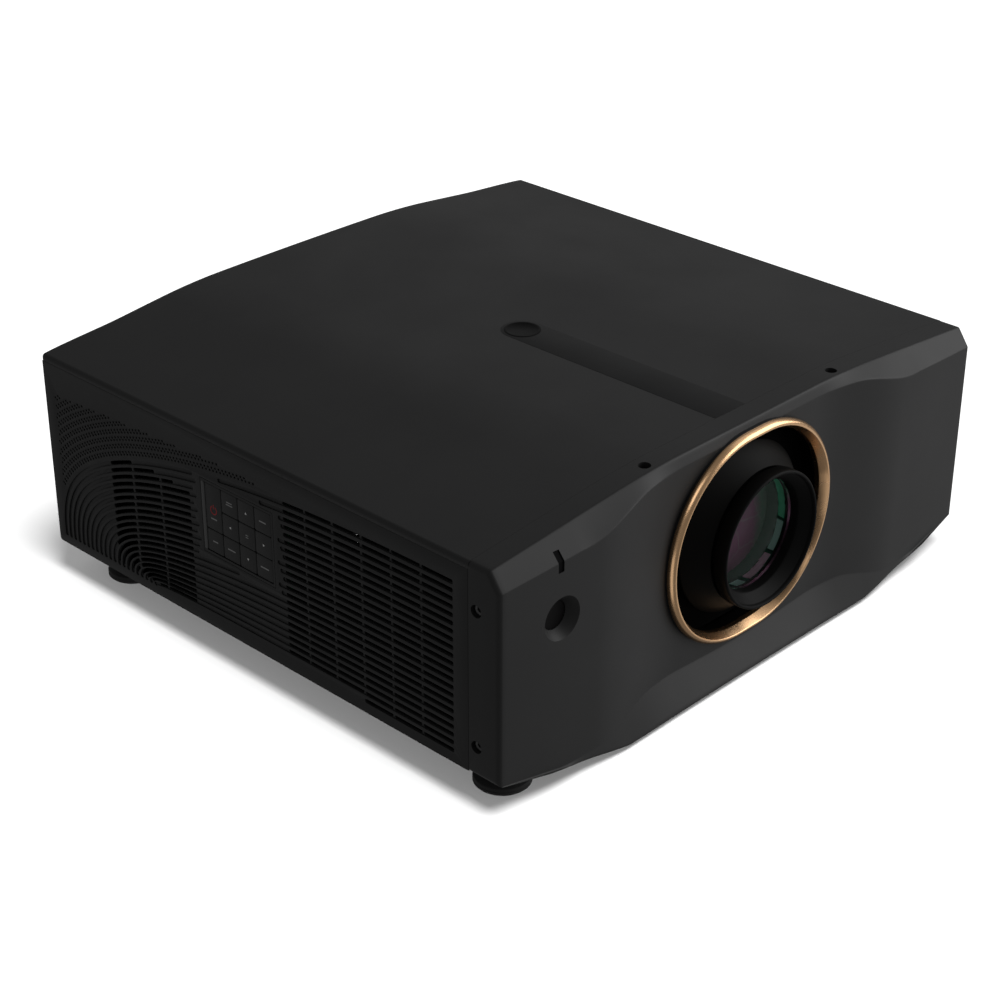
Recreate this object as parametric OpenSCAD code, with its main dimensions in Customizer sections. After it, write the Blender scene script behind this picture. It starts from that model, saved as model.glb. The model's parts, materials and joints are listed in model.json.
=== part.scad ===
// Installation-class laser projector, as an assembly of separate parts.
// Frame: origin on the table under the middle of the projector, +Z up, the lens looks along -Y.

/* [Casing] */
// Width over the two side panels
body_w = 484; // [470:1:510]
// Depth from the lens rim to the middle of the rear panel
overall_d = 464; // [460:1:480]
// Height from the table to the flat of the top cover
top_z = 187; // [184:1:196]
// Half width of the flat in the middle of the top
crown_flat = 105; // [90:1:115]
// Fall of the top from that flat to the side edge
crown_drop = 12; // [8:0.5:14]
// Height of the lowest part of the base above the table
belly_z = 4; // [3:0.5:6]
// Half width of the flat in the middle of the base
belly_flat = 127; // [120:1:135]
// Height of the lower edge of the side panels
side_low_z = 27; // [24:0.5:30]
// Height of the seam between side panels and top cover
seam_z = 170; // [166:0.5:170]
// How far the rear panel bows out between its corners
rear_bow = 8; // [6:0.5:14]
// Wall thickness of the plastic covers
wall = 3; // [2.5:0.1:3.5]
// Radius of the shoulder between top and sides
shoulder_r = 5; // [4:0.5:6]

/* [Front] */
// Y of the seam between front cover and the rest
seam_y = -192; // [-194:0.5:-190]
// Y of the front face beside the lens
face_mid_y = -211; // [-213:0.5:-209]
// Y of the ridges left and right of the lens
face_ridge_y = -223.6; // [-225:0.2:-221]
// Y of the front face at the corners
face_corner_y = -217.5; // [-219:0.5:-216]
// Y of the front edge of the top
brow_y = -208.5; // [-210:0.5:-206]
// Y of the lower lip in the middle
chin_y = -224.4; // [-226:0.2:-222]
// Half distance between the two screws in the top edge
brow_screw_x = 96; // [90:1:110]

/* [Lens] */
// Height of the optical axis
lens_z = 106.5; // [104:0.5:109]
// Half width of the trim ring
ring_rx = 84; // [82:0.5:86]
// Half height of the trim ring
ring_rz = 76; // [74:0.5:76]
// Width of the lip of the trim ring
ring_lip = 6.5; // [5:0.5:8]
// Radius of the lens barrel
barrel_r = 44; // [43:0.5:45]
// Radius of the rim of the lens
rim_r = 48.5; // [47:0.5:50]
// Radius of the front glass
glass_r = 39.4; // [38:0.1:40]
// Radius of the dark skirt around the barrel
skirt_r = 61; // [58:0.5:62]
// Radius of the toothed focus and zoom rings
gear_r = 54; // [52:0.5:55]
// Radius of the pinions that drive them
pinion_r = 12; // [11:0.5:13]

/* [Keypad] */
// Width of one key
key_w = 16.5; // [15:0.5:17]
// Height of one key
key_h = 17; // [15:0.5:17]
// Y of the rear edge of the keypad
keypad_y = 51; // [48:0.5:54]
// Height of the upper edge of the keypad
keypad_z = 138; // [134:0.5:140]
// Gap between neighbouring keys
key_gap = 0.5; // [0.4:0.1:0.8]

/* [Vents] */
// Number of slot rows in the side panels
slot_rows = 22; // [12:1:22]
// Height of a slot in the front grille
slot_h = 2.8; // [2.2:0.1:3.2]
// Height of a slot in the rear vent
vent_h = 3.3; // [2.4:0.1:3.6]
// Height of the uppermost row above the table at the front
slot_top_z = 156; // [152:0.5:156]

/* [Feet] */
// Distance of the feet from the middle, across
foot_x = 206; // [200:1:210]
// Distance of the feet from the middle, front to rear
foot_y = 186; // [180:1:190]
// Radius of a foot pad
foot_r = 19; // [16:0.5:20]
// Radius of the threaded stud of a foot
stud_r = 4; // [3:0.5:5]

/* [Base] */
// Spacing of the four ceiling mount holes, both ways
mount_pitch = 200; // [160:10:220]
// Radius of a ceiling mount hole (M6)
mount_r = 3; // [2.5:0.5:4]

/* [Hidden] */
$fn = 64;

half_w = body_w / 2;
front_y = -overall_d / 2;
rear_y = overall_d / 2;
crown_slope = crown_drop / (half_w - shoulder_r - crown_flat);
belly_slope = (side_low_z - belly_z) / (half_w - belly_flat);
shoulder_z = top_z - crown_drop - shoulder_r;
gap = 0.3;
sheet = 2.5;
keypad_w = 4 * key_w;
keypad_h = 3 * key_h;
colour_case = [0.13, 0.13, 0.135];
colour_dark = [0.05, 0.05, 0.05];
colour_metal = [0.62, 0.63, 0.65];
colour_gold = [0.80, 0.55, 0.33];
colour_pcb = [0.08, 0.25, 0.14];

// ---- profile of the casing -------------------------------------------------------------------

// 0 below 0, 1 above 1, and a smooth S between
function s_curve(t) = let (c = min(1, max(0, t))) c * c * (3 - 2 * c);

// Height of the flat-topped crown at a distance x from the middle
function crown(x) = top_z - max(0, abs(x) - crown_flat) * crown_slope;

// The crown with its rounded shoulder
function skin_top(x) =
    let (over = abs(x) - (half_w - shoulder_r))
    over <= 0 ? crown(x) : shoulder_z + sqrt(max(0, shoulder_r * shoulder_r - over * over));

// Height of the underside
function belly(x) = belly_z + max(0, abs(x) - belly_flat) * belly_slope;

// Y of the bowed rear panel
function rear_line(x) = rear_y - rear_bow * pow(x / half_w, 2);

// Y of the front face: hollow beside the lens, with a ridge on each side
function face_y(x) =
    let (ridge = 158, hollow = 50)
    abs(x) <= ridge
        ? face_mid_y + (face_ridge_y - face_mid_y) * s_curve((abs(x) - hollow) / (ridge - hollow))
        : face_ridge_y + (face_corner_y - face_ridge_y) * (abs(x) - ridge) / (half_w - ridge);

// Height of the lower edge of the brow, the sloped band above the face
function brow_low(x) =
    top_z - 7.7 - 12.3 * s_curve((abs(x) - crown_flat) / 75) - 0.065 * max(0, abs(x) - 175);

// Height of the upper edge of the chin, the sloped band below the face
function chin_high(x) =
    max(belly(x) + 0.5, abs(x) < 110
        ? 25 + 4.4 * s_curve(abs(x) / 110)
        : 29.4 - 2.4 * s_curve((abs(x) - 110) / 60));

// Y of the lower edge of the chin
function chin_low_y(x) =
    chin_y + 3.4 * s_curve((abs(x) - 105) / 30) + 3.5 * max(0, abs(x) - 200) / (half_w - 200);

// Outline of the casing across the projector, set in by t
function case_outline(t) = concat(
    [
        [-(half_w - t), side_low_z + t], [-belly_flat, belly_z + t],
        [belly_flat, belly_z + t], [half_w - t, side_low_z + t]
    ],
    [for (a = [0 : 15 : 90]) [
        half_w - shoulder_r + (shoulder_r - t) * cos(a), shoulder_z + (shoulder_r - t) * sin(a)
    ]],
    [[crown_flat, top_z - t], [-crown_flat, top_z - t]],
    [for (a = [90 : 15 : 180]) [
        -(half_w - shoulder_r) + (shoulder_r - t) * cos(a), shoulder_z + (shoulder_r - t) * sin(a)
    ]]
);

// Plan of the casing behind the front seam, set in by t at the sides and the rear
function plan_outline(t, y0) = concat(
    [[half_w - t, y0]],
    [for (i = [12 : -1 : -12]) let (x = i / 12 * (half_w - t)) [x, rear_line(x) - t]],
    [[-(half_w - t), y0]]
);

// ---- helpers ---------------------------------------------------------------------------------

module block(x0, x1, y0, y1, z0, z1) {
    translate([x0, y0, z0]) cube([x1 - x0, y1 - y0, z1 - z0]);
}

// Extrudes an outline drawn in X and Z along Y
module along_y(y0, y1) {
    translate([0, y1, 0]) rotate([90, 0, 0]) linear_extrude(y1 - y0) children();
}

// Extrudes an outline drawn in Y and Z along X
module along_x(x0, x1) {
    translate([x0, 0, 0]) rotate([90, 0, 90]) linear_extrude(x1 - x0) children();
}

module rod_y(r, y0, y1, x = 0, z = lens_z) {
    translate([x, y0, z]) rotate([-90, 0, 0]) cylinder(r = r, h = y1 - y0);
}

module rod_x(r, x0, x1, y, z) {
    translate([x0, y, z]) rotate([0, 90, 0]) cylinder(r = r, h = x1 - x0);
}

module tube_y(r_out, r_in, y0, y1, x = 0, z = lens_z) {
    difference() {
        rod_y(r_out, y0, y1, x, z);
        rod_y(r_in, y0 - 1, y1 + 1, x, z);
    }
}

// Flat-sided oval around the optical axis
module oval(rx, rz) {
    for (s = [-1, 1]) translate([s * (rx - rz), lens_z]) circle(r = rz);
    translate([-(rx - rz), lens_z - rz]) square([2 * (rx - rz), 2 * rz]);
}

module case_shell(t, inner, y0) {
    difference() {
        intersection() {
            along_y(y0, rear_y + 1) polygon(case_outline(0));
            linear_extrude(top_z + 10) polygon(plan_outline(0, y0));
        }
        intersection() {
            along_y(y0 - 1, rear_y + 1) polygon(case_outline(inner));
            translate([0, 0, -1]) linear_extrude(top_z + 12) polygon(plan_outline(t, y0 - 1));
        }
    }
}

// ---- casing ----------------------------------------------------------------------------------

strip_w = 30.6;
strip_end_y = -7;
strip_deep = 1.2;
tongue_z = 172;
rear_top_z = seam_z + gap;

module strip_shape(w) {
    translate([-w / 2, seam_y + 0.3]) square([w, strip_end_y - seam_y - 0.3]);
    translate([0, strip_end_y]) circle(r = w / 2);
}

module top_cover() color(colour_case) difference() {
    union() {
        intersection() {
            case_shell(wall, wall, seam_y + gap);
            block(-300, 300, -300, 300, rear_top_z, top_z + 5);
        }
        // tongues under the front cover that its screws bite into
        for (s = [-1, 1]) {
            block(s * brow_screw_x - 9, s * brow_screw_x + 9, seam_y - 16, seam_y + 12,
                tongue_z, tongue_z + 3.6);
            block(s * brow_screw_x - 9, s * brow_screw_x + 9, seam_y + 8, seam_y + 12,
                tongue_z, top_z - wall + 0.1);
        }
    }
    translate([0, 0, top_z - strip_deep]) linear_extrude(5) strip_shape(strip_w + 0.3);
    for (s = [-1, 1]) translate([s * brow_screw_x, -201, tongue_z - 1]) cylinder(r = 1.6, h = 6);
}

module top_trim_strip() color(colour_dark) translate([0, 0, top_z - strip_deep]) difference() {
    linear_extrude(strip_deep - 0.2) strip_shape(strip_w);
    translate([0, strip_end_y, -1]) cylinder(r = 13.2, h = 5);
}

module top_badge() color(colour_dark) translate([0, strip_end_y, top_z - strip_deep]) {
    difference() {
        cylinder(r = 13, h = strip_deep);
        translate([0, 0, strip_deep - 0.3]) cylinder(r = 11, h = 1);
    }
}

// One section of the front cover at x: six points from the lower seam to the upper seam
function cover_section(x, t) = [
    [seam_y + (t > 0 ? 1 : 0), belly(x) + t],
    [chin_low_y(x) + t, belly(x) + t],
    [face_y(x) + t, max(chin_high(x) + t * 0.6, belly(x) + t + 0.5)],
    [face_y(x) + t, brow_low(x) - t * 0.6],
    [brow_y + t * 0.7, skin_top(x) - t],
    [seam_y + (t > 0 ? 1 : 0), skin_top(x) - t]
];

// Solid swept through sections at the stations xs
module cover_solid(xs, t) {
    n = 6;
    points = [for (x = xs) for (p = cover_section(x, t)) [x, p[0], p[1]]];
    last = (len(xs) - 1) * n;
    sides = [for (k = [0 : len(xs) - 2]) for (i = [0 : n - 1]) for (half = [0, 1])
        let (a = k * n + i, b = k * n + (i + 1) % n, c = a + n, d = b + n)
        half == 0 ? [a, b, d] : [a, d, c]];
    ends = [[for (i = [n - 1 : -1 : 0]) i], [for (i = [0 : n - 1]) last + i]];
    polyhedron(points = points, faces = concat(sides, ends), convexity = 6);
}

ridge_xs = [for (x = [-230 : 10 : 230]) x];
outer_xs = concat([-half_w, -half_w + 0.6, -half_w + 2, -half_w + shoulder_r], ridge_xs,
    [half_w - shoulder_r, half_w - 2, half_w - 0.6, half_w]);
inner_xs = concat([-half_w + wall, -half_w + shoulder_r], ridge_xs,
    [half_w - shoulder_r, half_w - wall]);

brow_screw_y = -201;
flank_screw_y = -198.5;
flank_screw_z = [48, 144];
ir_x = -191;
ir_z = 126;
status_x = -192;
seat_y = -213;

module screw_pocket() {
    translate([0, 0, -7.1]) cylinder(r = 4, h = 13);
    translate([0, 0, -20]) cylinder(r = 1.9, h = 20);
}

// Places children at each screw of the front cover, with +Z pointing out of the cover
module at_cover_screws() {
    for (s = [-1, 1]) {
        translate([s * brow_screw_x, brow_screw_y, top_z]) children();
        for (z = flank_screw_z) translate([s * half_w, flank_screw_y, z]) rotate([0, s * 90, 0])
            children();
    }
}

module front_cover() color(colour_case) difference() {
    union() {
        difference() {
            cover_solid(outer_xs, 0);
            cover_solid(inner_xs, wall);
        }
        along_y(seat_y, seat_y + 6) oval(ring_rx, ring_rz);
        at_cover_screws() translate([0, 0, -10]) cylinder(r = 6, h = 8);
        rod_y(17, face_corner_y - 2, -208, ir_x, ir_z);
    }
    along_y(-240, seat_y + 8) oval(ring_rx - 4, ring_rz - 4);
    along_y(-240, seat_y) oval(ring_rx + 0.1, ring_rz + 0.1);
    at_cover_screws() screw_pocket();
    // conical recess of the remote control receiver
    translate([ir_x, -230, ir_z]) rotate([-90, 0, 0]) cylinder(r1 = 24, r2 = 9.5, h = 16);
    rod_y(9.5, -215, -212, ir_x, ir_z);
    rod_y(6.5, -213, -200, ir_x, ir_z);
    // slot of the status light, over the edge of the brow
    block(status_x - 2, status_x + 2, -230, -206, brow_low(status_x) - 7, brow_low(status_x) + 6);
}

module ir_window() color([0.08, 0.02, 0.03]) {
    rod_y(9.4, -213.6, -212.1, ir_x, ir_z);
    rod_y(6.4, -212.1, -205, ir_x, ir_z);
}

module status_light() color([0.75, 0.78, 0.8]) {
    block(status_x - 1.9, status_x + 1.9, -217, -206.2, brow_low(status_x) - 6.8,
        brow_low(status_x) + 3);
}

module casing_screws() color(colour_metal) at_cover_screws() difference() {
    union() {
        translate([0, 0, -7]) cylinder(r = 3.4, h = 2.8);
        translate([0, 0, -14.6]) cylinder(r = 1.5, h = 7.7);
    }
    translate([0, 0, -5.6]) cylinder(r = 1.6, h = 2, $fn = 6);
}

// Height of slot row k at y: level at the front, sweeping down ever steeper to the rear corner
sweep_y = -177;
sweep_z = 35;
function row_z(y, k) =
    let (reach = 391 - 5.1 * k, rise = slot_top_z - sweep_z - 5.69 * k)
    let (u = min(1, max(0, (y - sweep_y) / reach)))
    sweep_z + rise * pow(1 - pow(u, 2.4), 1 / 2.6);

// One slot of row k between y0 and y1, drawn in Y and Z with the given number of steps
module slot(k, y0, y1, h, steps) {
    ys = [for (i = [0 : steps]) y0 + (y1 - y0) * i / steps];
    polygon(concat(
        [for (i = [0 : steps]) [ys[i], row_z(ys[i], k) + h / 2]],
        [for (i = [steps : -1 : 0]) [ys[i], row_z(ys[i], k) - h / 2]]
    ));
}

// Columns of the grille beside the fan, and of the rear vent
grille_columns = [[-46, -27.5], [-71.5, -48.8], [-97.6, -74.7], [-124, -100.7], [-150, -127],
    [-177.5, -153]];
vent_columns = [[68.5, 97], [100.3, 127.3], [130.6, 153]];
vent_z = [37, 125];

module front_grille() {
    for (c = grille_columns, k = [0 : slot_rows - 2]) slot(k, c[0], c[1], slot_h, 1);
    for (i = [3 : 5]) slot(slot_rows - 1, grille_columns[i][0], grille_columns[i][1], slot_h, 1);
}

module rear_vent() intersection() {
    for (c = vent_columns, k = [0 : 17]) slot(k, c[0], c[1], vent_h, 4);
    translate([vent_columns[0][0] - 1, vent_z[0]]) square([100, vent_z[1] - vent_z[0]]);
}

module side_wall() {
    y1 = rear_line(half_w) - 0.2;
    difference() {
        union() {
            block(half_w - sheet, half_w, seam_y + gap, y1, side_low_z + gap, seam_z - gap);
            // inner rails that the covers and the base are screwed to
            block(half_w - 10, half_w - sheet, seam_y + 6, y1 - 12, side_low_z + 3, side_low_z + 5);
            block(half_w - 10, half_w - sheet, seam_y + 6, y1 - 12, seam_z - 4, seam_z - 2);
            for (z = flank_screw_z)
                block(half_w - 17, half_w - 11, seam_y - 14, seam_y + 10, z - 8, z + 8);
            for (z = flank_screw_z)
                block(half_w - 17, half_w - sheet, seam_y + 2, seam_y + 10, z - 8, z + 8);
        }
        along_x(half_w - 5, half_w + 5) front_grille();
        along_x(half_w - 5, half_w + 5) rear_vent();
        for (z = flank_screw_z) rod_x(1.6, half_w - 20, half_w - 8, flank_screw_y, z);
    }
}

module left_panel() color(colour_case) difference() {
    mirror([1, 0, 0]) side_wall();
    block(-half_w - 1, -half_w + 5, keypad_y - keypad_w - 2.3, keypad_y + 3.7,
        keypad_z - keypad_h - 2.3, keypad_z + 2.3);
}

module right_panel() color(colour_case) side_wall();

bay_x = [-96, 156];
bay_z = [54, 146];
bay_y = rear_y - 12;
inlet_x = -190;
switch_x = -142;
inlet_z = 62;
inlet_y = rear_line(inlet_x) - 1;
switch_y = rear_line(switch_x) - 9;

module port_holes(grow) {
    for (p = port_list) translate([p[0] - grow, bay_y - 3, p[1] - grow])
        cube([p[2] + 2 * grow, 6, p[3] + 2 * grow]);
    for (p = jack_list) rod_y(p[2] + grow, bay_y - 3, bay_y + 3, p[0], p[1]);
}

// Rectangular sockets: x, z, width, height
port_list = [
    [-86, 116, 16, 8], [-60, 116, 16, 8], [-34, 112, 17, 14], [-10, 112, 17, 14],
    [20, 114, 13, 6], [44, 114, 13, 6], [-86, 78, 32, 13], [-42, 78, 32, 13],
    [66, 108, 44, 18], [6, 80, 14, 12], [28, 80, 14, 12]
];
// Round sockets: x, z, radius
jack_list = [[62, 86, 4.5], [80, 86, 4.5], [98, 86, 4.5], [124, 86, 6.5], [143, 86, 6.5],
    [128, 118, 4.5], [143, 118, 4.5]];

module rear_panel() color(colour_case) difference() {
    union() {
        intersection() {
            case_shell(sheet, sheet, 150);
            block(-half_w + sheet + gap, half_w - sheet - gap, rear_y - rear_bow - sheet, 300,
                0, seam_z - gap);
            along_y(100, 300) polygon(case_outline(sheet + gap));
        }
        // corner returns
        for (s = [-1, 1]) block(s * (half_w - 8) - 4, s * (half_w - 8) + 4,
            rear_line(half_w) - 8, rear_line(half_w) - sheet + 0.5, 40, 160);
        // cheeks that the rocker switch turns in
        for (s = [-1, 1]) block(switch_x + s * 10.2 - 2, switch_x + s * 10.2 + 2, switch_y - 4,
            rear_line(switch_x) - 1, inlet_z - 5, inlet_z + 5);
        // walls of the recessed port bay
        block(bay_x[0] - 2, bay_x[1] + 2, bay_y - 2, rear_y - 3, bay_z[0] - 2, bay_z[1] + 2);
    }
    block(bay_x[0], bay_x[1], bay_y, 300, bay_z[0], bay_z[1]);
    port_holes(0.3);
    rod_x(1.56, switch_x - 12, switch_x + 12, switch_y, inlet_z);
    // seats of the mains inlet and of the switch
    block(inlet_x - 25.2, inlet_x + 25.2, 180, 300, inlet_z - 14.2, inlet_z + 14.2);
    block(switch_x - 8.2, switch_x + 8.2, 180, 300, inlet_z - 12.2, inlet_z + 12.2);
    // exhaust slots above the port bay
    for (i = [0 : 17], row = [0, 1]) block(-92 + i * 14, -92 + i * 14 + 10, 180, 300,
        152 + row * 7, 155.5 + row * 7);
}

boss_h = 24;
mount_y = 24;

module foot_spots() {
    for (sx = [-1, 1], sy = [-1, 1]) translate([sx * foot_x, sy * foot_y, 0]) children();
}

module mount_spots() {
    for (sx = [-1, 1], sy = [-1, 1])
        translate([sx * mount_pitch / 2, mount_y + sy * mount_pitch / 2, 0]) children();
}

module base_pan() color([0.2, 0.2, 0.21]) difference() {
    union() {
        intersection() {
            along_y(seam_y + gap, rear_y) difference() {
                polygon(case_outline(0));
                polygon(case_outline(sheet));
            }
            linear_extrude(side_low_z - 0.1) polygon(plan_outline(sheet + gap, seam_y + gap));
        }
        intersection() {
            foot_spots() translate([0, 0, belly(foot_x) + 1]) cylinder(r = 9, h = boss_h);
            block(-300, 300, seam_y + gap, 300, 0, 100);
        }
        mount_spots() translate([0, 0, belly_z]) cylinder(r = 8, h = 11);
    }
    foot_spots() cylinder(r = stud_r + 0.06, h = 60);
    mount_spots() cylinder(r = mount_r, h = 30);
    // air inlet louvres in the base
    for (i = [0 : 9], s = [-1, 1]) block(s * 60 - 25, s * 60 + 25, 40 + i * 9 - 2, 40 + i * 9 + 2,
        0, 12);
}

module foot_pad(sx, sy) color(colour_dark) translate([sx * foot_x, sy * foot_y, 0]) difference() {
    union() {
        cylinder(r = foot_r, h = 5);
        translate([0, 0, 5]) cylinder(r1 = foot_r, r2 = 12, h = 5);
    }
    translate([0, 0, 3]) cylinder(r = 6.08, h = 4.2);
    translate([0, 0, 3]) cylinder(r = stud_r + 0.08, h = 10);
}

module foot_screw(sx, sy) color(colour_metal) translate([sx * foot_x, sy * foot_y, 3.1]) {
    cylinder(r = 6, h = 4);
    cylinder(r = stud_r, h = belly(foot_x) + 20);
}

module foot_pad_fl() foot_pad(-1, -1);
module foot_pad_fr() foot_pad(1, -1);
module foot_pad_rl() foot_pad(-1, 1);
module foot_pad_rr() foot_pad(1, 1);
module foot_screw_fl() foot_screw(-1, -1);
module foot_screw_fr() foot_screw(1, -1);
module foot_screw_rl() foot_screw(-1, 1);
module foot_screw_rr() foot_screw(1, 1);

// ---- keypad ----------------------------------------------------------------------------------

key_face_x = -half_w + 0.4;
key_deep = 3.2;

// Key in column col (from the rear) and rows r0 to r1 (from the top)
module key(col, r0, r1) color(colour_case) {
    y1 = keypad_y - col * key_w - key_gap / 2;
    y0 = y1 - key_w + key_gap;
    z1 = keypad_z - r0 * key_h - key_gap / 2;
    z0 = keypad_z - (r1 + 1) * key_h + key_gap / 2;
    block(key_face_x, key_face_x + key_deep, y0, y1, z0, z1);
    rod_x(2.2, key_face_x + key_deep, key_face_x + 6, (y0 + y1) / 2, (z0 + z1) / 2);
}

module key_power() key(0, 0, 1);
module key_lens() key(0, 2, 2);
module key_input() key(1, 0, 0);
module key_left() key(1, 1, 1);
module key_shutter() key(1, 2, 2);
module key_up() key(2, 0, 0);
module key_enter() key(2, 1, 1);
module key_down() key(2, 2, 2);
module key_menu() key(3, 0, 0);
module key_right() key(3, 1, 1);
module key_source() key(3, 2, 2);

module keypad_frame() color(colour_case) {
    difference() {
        block(-half_w + 0.1, -half_w + 6, keypad_y - keypad_w - 2, keypad_y + 3.4,
            keypad_z - keypad_h - 2, keypad_z + 2);
        block(-half_w - 1, -half_w + 7, keypad_y - keypad_w - 0.2, keypad_y + 0.2,
            keypad_z - keypad_h - 0.2, keypad_z + 0.2);
    }
}

module keypad_board() color(colour_pcb) {
    block(-half_w + 9.2, -half_w + 10.8, keypad_y - keypad_w - 6, keypad_y + 6,
        keypad_z - keypad_h - 6, keypad_z + 6);
    for (col = [0 : 3], row = [0 : 2]) {
        y = keypad_y - (col + 0.5) * key_w;
        z = keypad_z - (row + 0.5) * key_h - (col == 0 && row == 0 ? key_h / 2 : 0);
        if (col > 0 || row != 1) rod_x(3, -half_w + 7.4, -half_w + 9.3, y, z);
    }
    // posts that carry the board on the frame
    for (y = [keypad_y + 1.1, keypad_y - keypad_w - 1.1])
        block(-half_w + 6, -half_w + 9.3, y - 0.8, y + 0.8, keypad_z - 30, keypad_z - 20);
}

// ---- lens ------------------------------------------------------------------------------------

bezel_back = -222;
barrel_front = -219.5;
barrel_rear = -86;
focus_y = [-192, -176];
zoom_y = [-160, -144];
plate_y = [-132, -124];
gear_mesh = gear_r + pinion_r + gap;
diagonal = gear_mesh * sqrt(0.5);

module lens_trim_ring() color(colour_gold) difference() {
    union() {
        along_y(-218, seat_y) oval(ring_rx, ring_rz);
        along_y(seat_y - 0.1, seat_y + 5) oval(ring_rx - 4.2, ring_rz - 4.2);
    }
    along_y(-230, -216) oval(ring_rx - 2.5, ring_rz - 2.5);
    along_y(-217, -214) oval(ring_rx - 4.5, ring_rz - 4.5);
    along_y(-215, -200) oval(ring_rx - ring_lip, ring_rz - ring_lip);
}

module lens_shroud() color(colour_dark) difference() {
    along_y(seat_y + 6.1, -196) oval(ring_rx - 1, ring_rz - 1);
    along_y(-220, -180) oval(ring_rx - 3.5, ring_rz - 3.5);
}

module lens_barrel() color(colour_dark) difference() {
    union() {
        rod_y(barrel_r, barrel_front, barrel_rear);
        tube_y(barrel_r + 3, barrel_r - 1, focus_y[1] + 0.4, focus_y[1] + 4);
        tube_y(barrel_r + 3, barrel_r - 1, zoom_y[1] + 0.4, zoom_y[1] + 4);
    }
    rod_y(barrel_r - 2, barrel_front - 1, barrel_rear - 4);
    rod_y(barrel_r - 12, barrel_rear - 5, barrel_rear + 1);
}

// Shallow dish around the barrel that hides the inside of the projector
module lens_skirt() color(colour_dark) translate([0, 0, lens_z]) rotate([90, 0, 0]) rotate_extrude()
    polygon([
        [barrel_r + 0.05, 202], [skirt_r - 8, 202], [skirt_r, 205], [skirt_r, 203.5],
        [skirt_r - 7, 199.5], [barrel_r + 0.05, 199.5]
    ]);

module lens_bezel() color(colour_dark) translate([0, 0, lens_z]) rotate([90, 0, 0]) rotate_extrude()
    polygon([
        [barrel_r - 2.08, 208], [glass_r + 0.1, 208], [glass_r + 0.1, 223], [glass_r + 0.6, 223],
        [rim_r - 2, -front_y - 0.6], [rim_r - 1.4, -front_y], [rim_r - 0.6, -front_y],
        [rim_r, -front_y - 0.8], [rim_r, -bezel_back], [barrel_r - 2.08, -bezel_back]
    ]);

// A lens with a convex front, radius r, edge from back to front
module lens_disc(r, back, edge, bulge) translate([0, 0, lens_z]) rotate([90, 0, 0])
    rotate_extrude() polygon(concat(
        [[0, back], [r, back], [r, edge]],
        [for (i = [7 : -1 : 0]) [r * i / 8, edge + bulge * (1 - pow(i / 8, 2))]]
    ));

module front_lens() color([0.35, 0.5, 0.45, 0.6]) lens_disc(glass_r, 211, 216.5, 6);

module inner_lenses() color([0.4, 0.5, 0.55, 0.6]) {
    lens_disc(barrel_r - 2.08, 186, 192, 6);
    lens_disc(barrel_r - 2.08, 150, 155, 4);
    lens_disc(barrel_r - 2.08, 110, 116, 5);
}

module focus_ring() color(colour_metal)
    tube_y(gear_r, barrel_r + 0.06, focus_y[0], focus_y[1]);

module zoom_ring() color(colour_metal)
    tube_y(gear_r, barrel_r + 0.06, zoom_y[0], zoom_y[1]);

module focus_pinion() color([0.85, 0.8, 0.6]) {
    rod_y(pinion_r, focus_y[0], focus_y[1], diagonal, lens_z + diagonal);
    rod_y(1.5, focus_y[1] - 1, -160, diagonal, lens_z + diagonal);
}

module zoom_pinion() color([0.85, 0.8, 0.6]) {
    rod_y(pinion_r, zoom_y[0], zoom_y[1], -diagonal, lens_z + diagonal);
    rod_y(1.5, zoom_y[1] - 1, -112, -diagonal, lens_z + diagonal);
}

module lens_motors() color(colour_metal) {
    difference() {
        rod_y(9, -172, plate_y[0], diagonal, lens_z + diagonal);
        rod_y(1.56, -173, -158, diagonal, lens_z + diagonal);
    }
    difference() {
        rod_y(9, plate_y[1], -92, -diagonal, lens_z + diagonal);
        rod_y(1.56, plate_y[1] - 1, -110, -diagonal, lens_z + diagonal);
    }
}

rail_x = 84;
rail_y = -128;
rail_r = 4;
cross_y = -96;
cross_z = 66;

module lens_carriage() color(colour_metal) difference() {
    union() {
        block(-72, 72, plate_y[0], plate_y[1], lens_z - 60, lens_z + 60);
        for (s = [-1, 1]) block(s * 80 - 12, s * 80 + 12, rail_y - 8, rail_y + 8,
            lens_z - 20, lens_z + 20);
    }
    rod_y(barrel_r, -150, -100);
    rod_y(2, -150, -100, -diagonal, lens_z + diagonal);
    for (s = [-1, 1]) translate([s * rail_x, rail_y, 0]) cylinder(r = rail_r + 0.06, h = 200);
}

module shift_stage() color([0.35, 0.36, 0.38]) {
    difference() {
        union() {
            block(-92, 92, -112, -104, lens_z - 73, lens_z + 73);
            for (s = [-1, 1]) for (t = [-1, 1]) {
                block(s * rail_x - 8, s * rail_x + 8, rail_y - 8, -111,
                    lens_z + t * 68 - 5, lens_z + t * 68 + 5);
                block(s * 72 - 10, s * 72 + 10, -105, cross_y + 8,
                    lens_z + t * cross_z - 7, lens_z + t * cross_z + 7);
            }
        }
        block(-78, 78, -120, -100, lens_z - 63, lens_z + 63);
        for (t = [-1, 1]) rod_x(rail_r + 0.06, -100, 100, cross_y, lens_z + t * cross_z);
    }
    for (s = [-1, 1]) translate([s * rail_x, rail_y, lens_z - 70]) cylinder(r = rail_r, h = 140);
}

module shift_bracket() color([0.30, 0.31, 0.33]) {
    for (s = [-1, 1]) block(s * 112 - 5, s * 112 + 5, -106, -86, belly_z + sheet, 180);
    block(-117, 117, -120, -86, belly_z + sheet, belly_z + sheet + 6);
    for (t = [-1, 1]) rod_x(rail_r, -108, 108, cross_y, lens_z + t * cross_z);
}

// ---- optical engine and electronics ----------------------------------------------------------

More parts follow.
